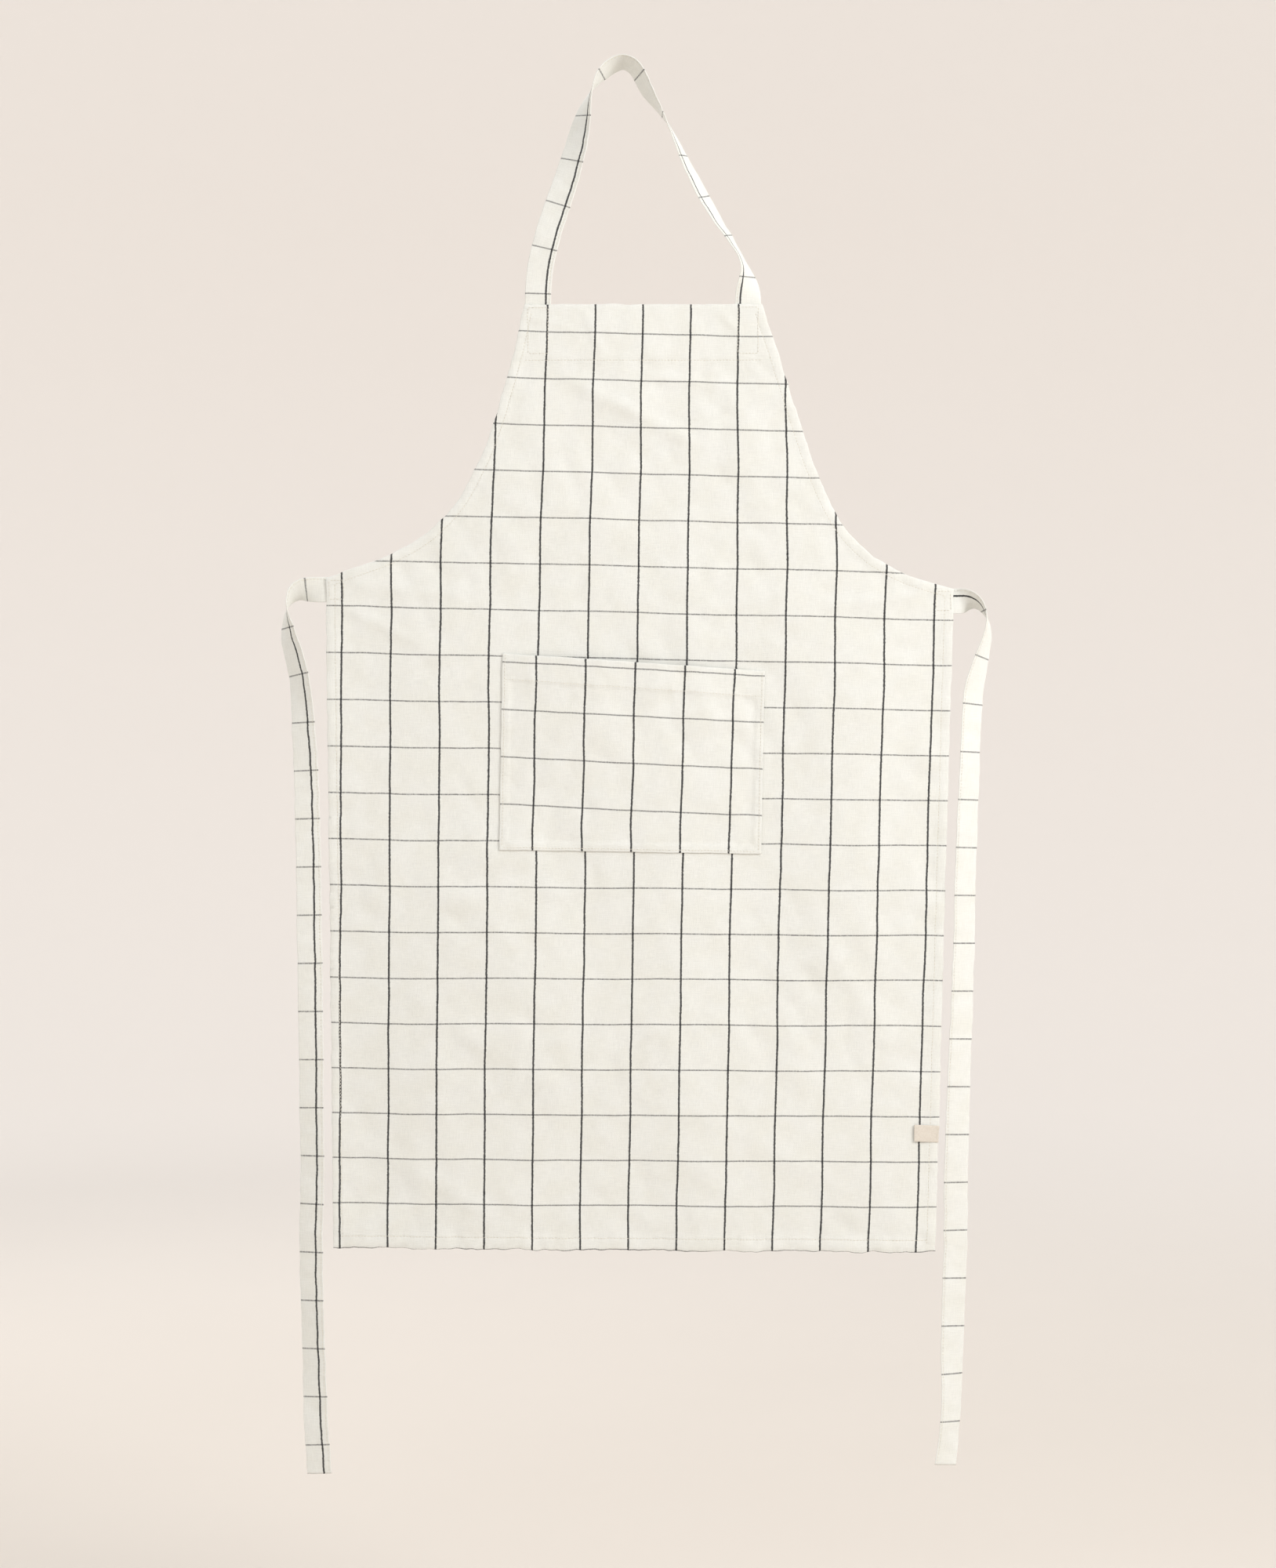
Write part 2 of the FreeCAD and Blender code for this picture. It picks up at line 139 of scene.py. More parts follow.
TIE_LEFT_ROUTE = (
    (TIE_LEFT[0] + TIE_END, TIE_LEFT[1], 180),
    (TIE_LEFT[0] + TIE_END / 2, TIE_LEFT[1], 180),
    (TIE_LEFT[0] - 0.0025, TIE_LEFT[1], 180),
    (-0.3005, -0.5038, 166),
    (-0.312, -0.5055, 140),
    (-0.3205, -0.514, 102),
    (-0.324, -0.527, 76),
    (-0.323, -0.541, 54),
    (-0.3125, -0.585, 32),
    (-0.3075, -0.634, 18),
    (-0.305, -0.681, 6),
    (-0.3025, -0.775, 0),
    (-0.301, -0.870, 0),
    (-0.300, -0.964, 8),
    (-0.299, -1.055, 14),
    (-0.300, -1.145, 16),
    (-0.2975, -1.235, 20),
    (-0.296, -1.283, 12),
    (-0.2925, -1.350, 10),
)
TIE_RIGHT_ROUTE = (
    (TIE_RIGHT[0] - TIE_END, TIE_RIGHT[1], 180),
    (TIE_RIGHT[0] - TIE_END / 2, TIE_RIGHT[1], 180),
    (TIE_RIGHT[0] + 0.0025, TIE_RIGHT[1], 180),
    (0.328, -0.5146, 150),
    (0.337, -0.517, 116),
    (0.345, -0.527, 90),
    (0.348, -0.543, 70),
    (0.3435, -0.563, 56),
    (0.3365, -0.590, 38),
    (0.332, -0.634, 34),
    (0.330, -0.681, 31),
    (0.3265, -0.776, 28),
    (0.324, -0.872, 25),
    (0.3205, -0.964, 20),
    (0.3175, -1.057, 14),
    (0.3165, -1.147, 14),
    (0.3135, -1.231, 22),
    (0.3115, -1.300, 34),
    (0.307, -1.342, 26),
)

# The woven check. Each pitch is (how far below the bib's top, value there).
WARP_DRIFT = -0.016
WARP_PITCHES = ((0.0, 0.0454), (0.250, 0.0474), (0.900, 0.0460))
WEFT_FIRST = -0.2595
WEFT_PITCH = 0.04475
WEFT_CLOSING = 0.0000467
WEFT_SLOPES = ((0.0, 0.026), (0.290, 0.0236), (0.650, 0.005), (0.900, 0.0065))
CHECK = 0.0465


# Shapes in general

@functools.lru_cache(maxsize=None)
def slopes(cells, seed):
    """A random slope for each cell of a square grid."""
    angles = np.random.default_rng(seed).uniform(0, 2 * np.pi, (cells, cells))
    return np.cos(angles), np.sin(angles)


def soft_noise(a, b, seed):
    """Smooth random hills about one unit across, from -1 to 1."""
    cells = 256
    slope_a, slope_b = slopes(cells, seed)
    cell_a, cell_b = np.floor(a).astype(int), np.floor(b).astype(int)
    in_a, in_b = a - cell_a, b - cell_b

    def corner(i, j):
        at = (cell_a + i) % cells, (cell_b + j) % cells
        return slope_a[at] * (in_a - i) + slope_b[at] * (in_b - j)

    share_a, share_b = (f ** 3 * (f * (f * 6 - 15) + 10) for f in (in_a, in_b))
    low = corner(0, 0) * (1 - share_a) + corner(1, 0) * share_a
    high = corner(0, 1) * (1 - share_a) + corner(1, 1) * share_a
    return 1.4 * (low * (1 - share_b) + high * share_b)


def step_up(value, start, end):
    """0 below start, 1 above end, and smooth between them."""
    share = np.clip((value - start) / (end - start), 0, 1)
    return share * share * (3 - 2 * share)


def by_depth(table, down):
    """A value that changes with the distance below the bib's top."""
    return np.interp(down, *zip(*table))


def natural_cubic(knots, values, at):
    """Value and slope of the smooth curve through values at knots."""
    gaps = np.diff(knots)[:, None]
    matrix = np.eye(len(knots))
    right = np.zeros_like(values)
    for i in range(1, len(knots) - 1):
        before, after = gaps[i - 1, 0], gaps[i, 0]
        matrix[i, i - 1:i + 2] = before, 2 * (before + after), after
        right[i] = 6 * ((values[i + 1] - values[i]) / after - (values[i] - values[i - 1]) / before)
    bend = np.linalg.solve(matrix, right)
    i = np.clip(np.searchsorted(knots, at) - 1, 0, len(gaps) - 1)
    gap = gaps[i]
    past = (at - knots[i])[:, None]
    left = gap - past
    start = values[i] / gap - bend[i] * gap / 6
    end = values[i + 1] / gap - bend[i + 1] * gap / 6
    value = (bend[i] * left ** 3 + bend[i + 1] * past ** 3) / (6 * gap) + start * left + end * past
    slope = (bend[i + 1] * past ** 2 - bend[i] * left ** 2) / (2 * gap) - start + end
    return value, slope


def bezier(points, steps):
    a, b, c, d = (np.array(point) for point in points)
    t = np.linspace(0, 1, steps + 1)[:, None]
    return a * (1 - t) ** 3 + 3 * b * t * (1 - t) ** 2 + 3 * c * t * t * (1 - t) + d * t ** 3


def runs_along(line):
    """How far along a line each of its points is."""
    return np.concatenate(([0], np.cumsum(np.hypot(*np.diff(line, axis=0).T))))


def at_places(places, runs, line):
    """Where a line is at some distances along it."""
    return np.stack([np.interp(places, runs, values) for values in line.T], axis=1)


def spaced(line, step):
    """Points along a line of points, about a step apart."""
    line = np.asarray(line, float)
    runs = runs_along(line)
    return at_places(np.linspace(0, runs[-1], max(2, round(runs[-1] / step) + 1)), runs, line)


def left_of(line):
    """The direction to the left of a line at each of its points."""
    steps = np.gradient(np.asarray(line, float), axis=0)
    normals = np.stack((-steps[:, 1], steps[:, 0]), axis=1)
    return normals / np.linalg.norm(normals, axis=1)[:, None]


def measure(line, points):
    """How far each point is from a line, how far along it, and the line's left there."""
    distance = np.full(len(points), np.inf)
    along = np.zeros(len(points))
    left = np.zeros((len(points), 2))
    run = 0.0
    for start, end in zip(line, line[1:]):
        step = end - start
        length = math.hypot(*step)
        share = np.clip((points - start) @ step / length ** 2, 0, 1)
        here = np.hypot(*(points - start - share[:, None] * step).T)
        closer = here < distance
        distance[closer] = here[closer]
        along[closer] = run + share[closer] * length
        left[closer] = (-step[1] / length, step[0] / length)
        run += length
    return distance, along, left


def inside(points, rim):
    """Whether each point is inside a closed rim."""
    odd = np.zeros(len(points), bool)
    for (x, z), (next_x, next_z) in zip(rim, np.roll(rim, -1, axis=0)):
        if z == next_z:
            continue
        crosses = (z > points[:, 1]) != (next_z > points[:, 1])
        odd ^= crosses & (points[:, 0] < x + (points[:, 1] - z) / (next_z - z) * (next_x - x))
    return odd


def new_piece(name, points, groups, material):
    """A smooth closed mesh. Each group is (faces, the check and yarn coordinates at their corners)."""
    points = np.asarray(points, float)
    centred = points - points.mean(axis=0)
    volume = 0.0
    for faces, _ in groups:
        for i in range(1, faces.shape[1] - 1):
            a, b, c = (centred[faces[:, k]] for k in (0, i, i + 1))
            volume += np.einsum("ij,ij->", a, np.cross(b, c))
    way = 1 if volume > 0 else -1
    sizes = np.concatenate([np.full(len(faces), faces.shape[1]) for faces, _ in groups])
    corners = np.concatenate([faces[:, ::way].ravel() for faces, _ in groups])
    weave = np.concatenate([values[:, ::way].reshape(-1, 3) for _, values in groups])
    mesh = bpy.data.meshes.new(name)
    mesh.vertices.add(len(points))
    mesh.vertices.foreach_set("co", points.astype(np.float32).ravel())
    mesh.loops.add(len(corners))
    mesh.loops.foreach_set("vertex_index", corners.astype(np.int32))
    mesh.polygons.add(len(sizes))
    starts = np.concatenate(([0], np.cumsum(sizes)[:-1]))
    mesh.polygons.foreach_set("loop_start", starts.astype(np.int32))
    mesh.update(calc_edges=True)
    mesh.validate()
    mesh.shade_smooth()
    attribute = mesh.attributes.new("weave", "FLOAT_VECTOR", "CORNER")
    attribute.data.foreach_set("vector", weave.astype(np.float32).ravel())
    piece = bpy.data.objects.new(name, mesh)
    bpy.context.scene.collection.objects.link(piece)
    mesh.materials.append(material)
    return piece


# The panel

def armhole(top, bottom, handles):
    top_handle, bottom_handle = handles
    return bezier((top, np.add(top, top_handle), np.add(bottom, bottom_handle), bottom), 40)


# Every edge with the cloth on its left, and its hem's width
PANEL_EDGES = {
    "bottom": (np.array((HEM_LEFT, HEM_RIGHT)), BOTTOM_HEM),
    "right": (np.array((HEM_RIGHT, WAIST_RIGHT)), SIDE_HEM),
    "armhole_right": (armhole(BIB_RIGHT, WAIST_RIGHT, ARMHOLE_RIGHT_HANDLES)[::-1], SIDE_HEM),
    "bib": (np.array((BIB_RIGHT, BIB_LEFT)), BIB_HEM),
    "armhole_left": (armhole(BIB_LEFT, WAIST_LEFT, ARMHOLE_LEFT_HANDLES), SIDE_HEM),
    "left": (np.array((WAIST_LEFT, HEM_LEFT)), SIDE_HEM),
}

# How much each seam gathers the cloth beside it, and how uneven its edge is
PUCKERS = {"bottom": 0.00055, "right": 0.00030, "armhole_right": 0.00055, "bib": 0.00035,
           "armhole_left": 0.00055, "left": 0.00030}
UNEVEN = {"bottom": 0.0013, "right": 0.0006, "armhole_right": 0.0007, "bib": 0.0006,
          "armhole_left": 0.0007, "left": 0.0006}

# Double cloth that lies flatter: under the strap's ends and the ties' ends
CALM = ((STRAP_LEFT, BIB_TOP - STRAP_END / 2), (STRAP_RIGHT, BIB_TOP - STRAP_END / 2),
        TIE_LEFT, TIE_RIGHT)

# Soft creases: start, end, half width, height
CREASES = (
    ((-0.060, -0.300), (0.085, -0.372), 0.007, 0.0017),
    ((0.012, -0.297), (0.106, -0.312), 0.005, 0.0012),
    ((-0.040, -0.236), (-0.020, -0.279), 0.004, 0.0012),
    ((-0.092, -0.244), (-0.052, -0.252), 0.004, 0.0010),
    ((0.090, -0.236), (0.112, -0.262), 0.004, 0.0012),
    ((0.118, -0.286), (0.134, -0.306), 0.004, 0.0010),
    ((-0.281, -0.515), (-0.190, -0.560), 0.006, 0.0012),
    ((-0.262, -0.499), (-0.150, -0.512), 0.006, 0.0010),
    ((0.309, -0.522), (0.215, -0.575), 0.007, 0.0012),
    ((0.290, -0.508), (0.190, -0.520), 0.006, 0.0010),
    ((-0.200, -0.900), (-0.060, -0.985), 0.012, 0.0010),
    ((0.180, -0.820), (0.262, -0.955), 0.012, 0.0010),
    ((-0.255, -1.030), (-0.120, -1.105), 0.009, 0.0010),
    ((0.060, -1.000), (0.230, -1.085), 0.010, 0.0009),
)


# Heights of the cloth's hang, swell, ridges, crumples and grain
HANG = 0.0058
SWELL = 0.0021
RIDGE = 0.0034
CRUMPLE = 0.0019
GRAIN = 0.00022


def crease(points, start, end, half, height):
    """A soft ridge that fades out at both ends."""
    distance, along, _ = measure(np.array((start, end)), points)
    share = along / math.dist(start, end)
    return height * np.exp(-(distance / half) ** 2) * np.sin(np.pi * share) ** 0.5


def panel_shape(points):
    """How far the hanging cloth is from its flat place: across, towards the back, up."""
    across, up = points.T
    down = BIB_TOP - up
    hang = np.clip(down / 0.9, 0, 1)
    out = HANG * (0.25 + 0.75 * hang) * soft_noise(across / 0.15, up / 0.60, 11)
    out += SWELL * soft_noise(across / 0.09, up / 0.16, 12)
    fold = soft_noise(across / 0.050 + up / 0.20, up / 0.060, 13)
    worn = 0.5 + 0.5 * soft_noise(across / 0.14, up / 0.14, 14)
    for middle in CALM:
        gap = np.hypot(across - middle[0], up - middle[1])
        worn *= 1 - np.exp(-(gap / 0.032) ** 4)
    out -= RIDGE * worn * (np.sqrt(fold ** 2 + 0.003) - 0.2)
    crumple = soft_noise(across / 0.026 - up / 0.11, up / 0.034, 16)
    out -= CRUMPLE * worn * (np.sqrt(crumple ** 2 + 0.002) - 0.2)
    out += GRAIN * soft_noise(across / 0.014, up / 0.017, 15)
    for start, end, half, height in CREASES:
        out -= crease(points, start, end, half, height)
    shift = np.zeros((len(points), 2))
    for i, (edge, (line, hem)) in enumerate(PANEL_EDGES.items()):
        distance, along, left = measure(line, points)
        ripple = soft_noise(along / 0.0065, distance / 0.030, 20 + i)
        ripple += 0.8 * soft_noise(along / 0.014, distance / 0.040, 30 + i)
        near_seam = np.exp(-np.abs(distance - hem + SEAM_INSIDE) / 0.009)
        out += PUCKERS[edge] * near_seam * ripple
        wander = soft_noise(along / 0.018, np.full(len(points), 0.5), 40 + i)
        wander += 0.7 * soft_noise(along / 0.007, np.full(len(points), 0.5), 50 + i)
        size = UNEVEN[edge] * np.exp(-distance / 0.012) * wander
        shift += left * size[:, None]
    return np.stack((shift[:, 0], out, shift[:, 1]), axis=1)


def panel_levels(points):
    """The levels of the cloth's front and back. Hems are two layers, pressed in along the seam."""
    turned = np.zeros(len(points))
    pressed = np.zeros(len(points))
    for line, hem in PANEL_EDGES.values():
        distance = measure(line, points)[0]
        turned = np.maximum(turned, step_up(hem - distance, -0.0003, 0.0003))
        seam = np.exp(-((distance - hem + SEAM_INSIDE) / 0.0007) ** 2)
        pressed = np.maximum(pressed, seam)
    front = PANEL_FRONT - 0.00022 * turned + 0.00026 * pressed
    back = PANEL_BACK + CLOTH * turned - 0.00022 * pressed
    return front, back


def check_lines(points):
    """Which check lines a point of the panel's cloth is on: whole numbers are on a line."""
    across, up = points.T
    down = BIB_TOP - up
    sway = 0.0009 * soft_noise(across / 0.20, up / 0.07, 61)
    sway += 0.0003 * soft_noise(across / 0.10, up / 0.018, 65)
    lift = 0.0009 * soft_noise(across / 0.08, up / 0.20, 62)
    lift += 0.0003 * soft_noise(across / 0.020, up / 0.10, 66)
    across, up = across + sway, up + lift
    warp = (across - BIB_CENTRE - WARP_DRIFT * down) / by_depth(WARP_PITCHES, down)
    fall = WEFT_FIRST - up - by_depth(WEFT_SLOPES, down) * (across - BIB_CENTRE)
    weft = (WEFT_PITCH - np.sqrt(WEFT_PITCH ** 2 - 4 * WEFT_CLOSING * fall)) / (2 * WEFT_CLOSING)
    return np.stack((warp, weft, np.zeros(len(points))), axis=1)


def turned_over(points):
    """Where the cloth on the back of a hem would be, had the hem not been turned."""
    flat = points.copy()
    nearest = np.full(len(points), np.inf)
    for line, hem in PANEL_EDGES.values():
        distance, _, left = measure(line, points)
        mine = (distance < hem) & (distance < nearest)
        nearest[mine] = distance[mine]
        flat[mine] = points[mine] - 2 * distance[mine, None] * left[mine]
    return flat


def laid(points, level, shape):
    """Flat points at their level on the cloth, moved as the cloth hangs."""
    placed = shape(points)
    placed[:, 0] += points[:, 0]
    placed[:, 1] += level
    placed[:, 2] += points[:, 1]
    return placed


def fill(rim, finer, spacing, seed):
    """Triangles between a rim and the points inside it, which are closer along the finer lines."""
    low, high = rim.min(axis=0), rim.max(axis=0)
    counts = np.ceil((high - low) / spacing).astype(int)
    grid = np.stack(np.meshgrid(np.arange(counts[0]), np.arange(counts[1])), axis=-1)
    grid = grid.reshape(-1, 2) + 0.5
    grid += np.random.default_rng(seed).uniform(-0.25, 0.25, grid.shape)
    grid = low + grid * spacing
    grid = grid[inside(grid, rim)]
    kept = [tuple(point) for point in rim]
    for points, gap in ((finer, spacing * 0.22), (grid, spacing * 0.62)):
        tree = KDTree(len(kept))
        for i, (x, z) in enumerate(kept):
            tree.insert((x, z, 0), i)
        tree.balance()
        kept += [(x, z) for x, z in points if tree.find((x, z, 0))[2] > gap]
    borders = [(i, (i + 1) % len(rim)) for i in range(len(rim))]
    corners = [Vector(point) for point in kept]
    inside_only = 1
    found = delaunay_2d_cdt(corners, borders, [], inside_only, 1e-7, True)
    first = {}
    for i, originals in enumerate(found[3]):
        for original in originals:
            first[original] = i
    order = [first[i] for i in range(len(kept))]
    place = {at: i for i, at in enumerate(order)}
    points = np.array(kept)
    triangles = np.array([[place[i] for i in face] for face in found[2]])
    return points, triangles[inside(points[triangles].mean(axis=1), rim)]


def folded_cloth(name, rim, finer, spacing, levels, shape, weave, material, nose, backside=None):
    """A flat piece of cloth with turned edges: front, back, and a round fold all the way round."""
    count = len(rim)
    ahead, behind = np.roll(rim, -1, axis=0), np.roll(rim, 1, axis=0)
    along = ahead - behind
    outward = np.stack((along[:, 1], -along[:, 0]), axis=1)
    outward /= np.linalg.norm(outward, axis=1)[:, None]
    points, triangles = fill(rim - outward * nose, finer, spacing, len(name))
    edge = points[:count]
    front, back = levels(points)
    flat = [points, points]
    level = [front, back]
    middle = (front[:count] + back[:count]) / 2
    half = (back[:count] - front[:count]) / 2
    angles = [math.radians(angle) for angle in (-45, 0, 45)]
    for angle in angles:
        flat.append(edge + outward * nose * math.cos(angle))
        level.append(middle + half * math.sin(angle))
    total = len(points)
    rings = [np.arange(count)]
    rings += [2 * total + i * count + np.arange(count) for i in range(len(angles))]
    rings += [total + np.arange(count)]
    flat = np.concatenate(flat)
    placed = laid(flat, np.concatenate(level), shape)
    lines = weave(flat)
    behind_them = triangles[:, ::-1]
    on_back = lines[behind_them]
    if backside:
        unturned, is_turned = backside(points)
        on_hem = is_turned[behind_them].all(axis=1)
        on_back = np.where(on_hem[:, None, None], weave(unturned)[behind_them], on_back)
    fold = []
    for near, far in zip(rings, rings[1:]):
        fold.append(np.stack((np.roll(near, -1), near, far, np.roll(far, -1)), axis=1))
    fold = np.concatenate(fold)
    groups = [(triangles, lines[triangles]), (behind_them + total, on_back), (fold, lines[fold])]
    return new_piece(name, placed, groups, material)


def inside_lines(edges, distances_of, step):
    """Points along lines inside each edge, as far as they keep their distance from every edge."""
    found = []
    for line, hem in edges.values():
        for distance in distances_of(hem):
            moved = spaced(line, step)
            moved = moved + left_of(moved) * distance
            clear = np.min([measure(other, moved)[0] for other, _ in edges.values()], axis=0)
            found.append(moved[clear > min(distance, 0.9 * SIDE_HEM) - 0.0003])
    return np.concatenate(found)


def closed_rim(edges, step):
    """One closed rim from edges that follow each other."""
    return np.concatenate([spaced(line, step)[:-1] for line, _ in edges.values()])


def make_panel(material):
    def hem_lines(hem):
        return (hem - 2 * SEAM_INSIDE + 0.0006, hem - SEAM_INSIDE, hem - 0.0005, hem + 0.0005)

    def backside(points):
        turned = np.zeros(len(points), bool)
        for line, hem in PANEL_EDGES.values():
            turned |= measure(line, points)[0] < hem - 0.0002
        return turned_over(points), turned

    finer = inside_lines(PANEL_EDGES, hem_lines, 0.0022)
    rim = closed_rim(PANEL_EDGES, 0.0022)
    return folded_cloth("panel", rim, finer, 0.0037, panel_levels, panel_shape, check_lines,
                        material, NOSE, backside)


# The pocket

POCKET_CORNERS = (POCKET_BOTTOM[0], POCKET_BOTTOM[1], POCKET_TOP[1], POCKET_TOP[0])
POCKET_EDGES = {
    "foot": (np.array(POCKET_CORNERS[:2]), POCKET_TURNED),
    "right": (np.array(POCKET_CORNERS[1:3]), POCKET_TURNED),
    "mouth": (np.array(POCKET_CORNERS[2:]), POCKET_HEM),
    "left": (np.array((POCKET_CORNERS[3], POCKET_CORNERS[0])), POCKET_TURNED),
}


def pocket_share(points):
    """How far across and down the pocket each point is, from 0 to 1."""
    distance = {edge: measure(line, points)[0] for edge, (line, _) in POCKET_EDGES.items()}
    across = distance["left"] / (distance["left"] + distance["right"])
    down = distance["mouth"] / (distance["mouth"] + distance["foot"])
    return across, down, distance


def pocket_levels(points):
    """Its mouth stands open a little. Its hem and its turned edges are two layers."""
    across, down, distance = pocket_share(points)
    gape = POCKET_GAPE * 4 * across * (1 - across) * np.clip(1 - down * 1.05, 0, 1) ** 1.2
    gape *= step_up(np.minimum(distance["left"], distance["right"]), 0.004, 0.030)
    layers = np.zeros(len(points))
    for edge, (_, hem) in POCKET_EDGES.items():
        layers = np.maximum(layers, step_up(hem - distance[edge], -0.0005, 0.0005))
    sides = np.min([distance[edge] for edge in ("left", "right", "foot")], axis=0)
    pressed = np.exp(-((sides - POCKET_SEAM) / 0.0007) ** 2)
    hem_seam = np.exp(-((distance["mouth"] - POCKET_HEM + SEAM_INSIDE) / 0.0007) ** 2)
    pressed = np.maximum(pressed, hem_seam * step_up(sides, 0.002, 0.004))
    back = PANEL_FRONT - 0.0003 - gape
    front = back - CLOTH - 0.0005 * layers + 0.00026 * pressed
    return front, back


def pocket_shape(points):
    """The pocket follows the panel, with gathers of its own beside its seams."""
    distance = pocket_share(points)[2]
    shape = panel_shape(points)
    hem_gap = np.abs(distance["mouth"] - POCKET_HEM + SEAM_INSIDE)
    ripple = soft_noise(points[:, 0] / 0.0085, points[:, 1] / 0.05, 71)
    ripple += soft_noise(points[:, 0] / 0.019, points[:, 1] / 0.05, 72)
    free = step_up(np.minimum(distance["left"], distance["right"]), 0.002, 0.012)
    shape[:, 1] -= 0.00055 * np.abs(ripple) * np.exp(-hem_gap / 0.012) * free
    sides = np.minimum(distance["left"], distance["right"])
    side_ripple = soft_noise(points[:, 0] / 0.05, points[:, 1] / 0.010, 73)
    shape[:, 1] -= 0.00035 * np.abs(side_ripple) * np.exp(-sides / 0.010)
    wander = soft_noise(points[:, 0] / 0.020, points[:, 1] / 0.020, 74)
    shape[:, 0] += 0.0004 * wander
    shape[:, 2] += 0.0004 * soft_noise(points[:, 0] / 0.018, points[:, 1] / 0.020, 75)
    return shape


def pocket_check(points):
    """The pocket's own check. Its upright lines meet the panel's, its level lines don't."""
    across, up = points.T
    down = POCKET_TOP[0][1] - up
    across = across + 0.0008 * soft_noise(across / 0.20, up / 0.05, 63)
    middle = 0.0106 - 0.0255 * down
    pitch = 0.0475 - 0.0035 * down
    slope = 0.056 - 0.075 * down
    level = up + slope * (across - 0.0085) + 0.0006 * soft_noise(across / 0.06, up / 0.2, 64)
    weft = (-0.5800 - level) / 0.0450
    return np.stack(((across - middle) / pitch, weft, np.zeros(len(points))), axis=1)


def make_pocket(material):
    def hem_lines(hem):
        return (POCKET_SEAM, hem - 0.0006, hem + 0.0006)

    finer = inside_lines(POCKET_EDGES, hem_lines, 0.0020)
    rim = closed_rim(POCKET_EDGES, 0.0020)
    return folded_cloth("pocket_patch", rim, finer, 0.0026, pocket_levels, pocket_shape,
                        pocket_check, material, NOSE)


# Bands

def band_frame(route, side, sewn):
    """Distances along a band, with its middle, width direction and front direction there."""
    route = np.array(route, float)
    knots = runs_along(route[:, :2])
    count = round(knots[-1] / 0.0018) + 1
    at = np.linspace(0, knots[-1], count)
    value, slope = natural_cubic(knots, route, at)
    along = slope[:, :2] / np.linalg.norm(slope[:, :2], axis=1)[:, None]
    turn = np.radians(value[:, 2])
    zero = np.zeros(count)
    forward = np.stack((along[:, 0], zero, along[:, 1]), axis=1)
    level_way = side * np.stack((along[:, 1], zero, -along[:, 0]), axis=1)
    width = level_way * np.cos(turn)[:, None]
    width[:, 1] -= np.sin(turn)
    face = -side * np.cross(forward, width)
    middle = np.stack((value[:, 0], np.full(count, BAND_MIDDLE + 0.00015), value[:, 1]), axis=1)
    held = np.max([1 - step_up(np.abs(at - place), reach, reach + 0.07)
                   for place, reach in sewn(at[-1])], axis=0)
    middle[:, 1] += held * panel_shape(middle[:, ::2])[:, 1]
    middle[:, 1] += (1 - held) * 0.0012 * soft_noise(at / 0.16, zero + 0.5, 81 + count)
    return at, middle, width, face, held


def band_columns(width):
    """Places across one face of a band, as distances from its seam edge."""
    near_seam = (0.0006, 0.0013, 0.0020, 0.0027, 0.0038)
    rest = np.linspace(0.0060, width - 0.0022, 8)
    return np.concatenate((near_seam, rest, (width - 0.0012, width - 0.0006)))


def band_half(inwards, width):
    """Half the band's thickness: less beside its edges and along its row of stitches."""
    edge = np.minimum(inwards, width - inwards)
    groove = np.exp(-((inwards - BAND_SEAM) / 0.0007) ** 2)
    return BAND / 2 * (0.72 + 0.28 * step_up(edge, 0, 0.004)) - 0.0002 * groove


def band_surface(frame_at, width, inwards, which, seed):
    """Points on a band's front (1) or reverse (-1), at distances from its seam edge."""
    at, middle, across_way, face, held = frame_at
    free = 1 - held
    s, d = np.meshgrid(at, inwards, indexing="ij")
    bend = 0.00075 * soft_noise(s / 0.030, d / 0.040, seed)
    bend += 0.00030 * soft_noise(s / 0.011, d / 0.020, seed + 1)
    gather = 0.00028 * soft_noise(s / 0.0050, d / 0.030, seed + 2) * np.exp(-d / 0.008)
    puff = 0.00016 * soft_noise(s / 0.009, d / 0.008, seed + 3)
    out = (bend + gather) * free[:, None] + which * (band_half(d, width) + puff)
    wander = 0.00055 * soft_noise(s / 0.022, d * 0 + 0.5, seed + 4)
    wander += 0.00035 * soft_noise(s / 0.008, d * 0 + 0.5, seed + 5)
    across = width / 2 - d + wander * free[:, None]
    return (middle[:, None] + across_way[:, None] * across[..., None]
            + face[:, None] * out[..., None])


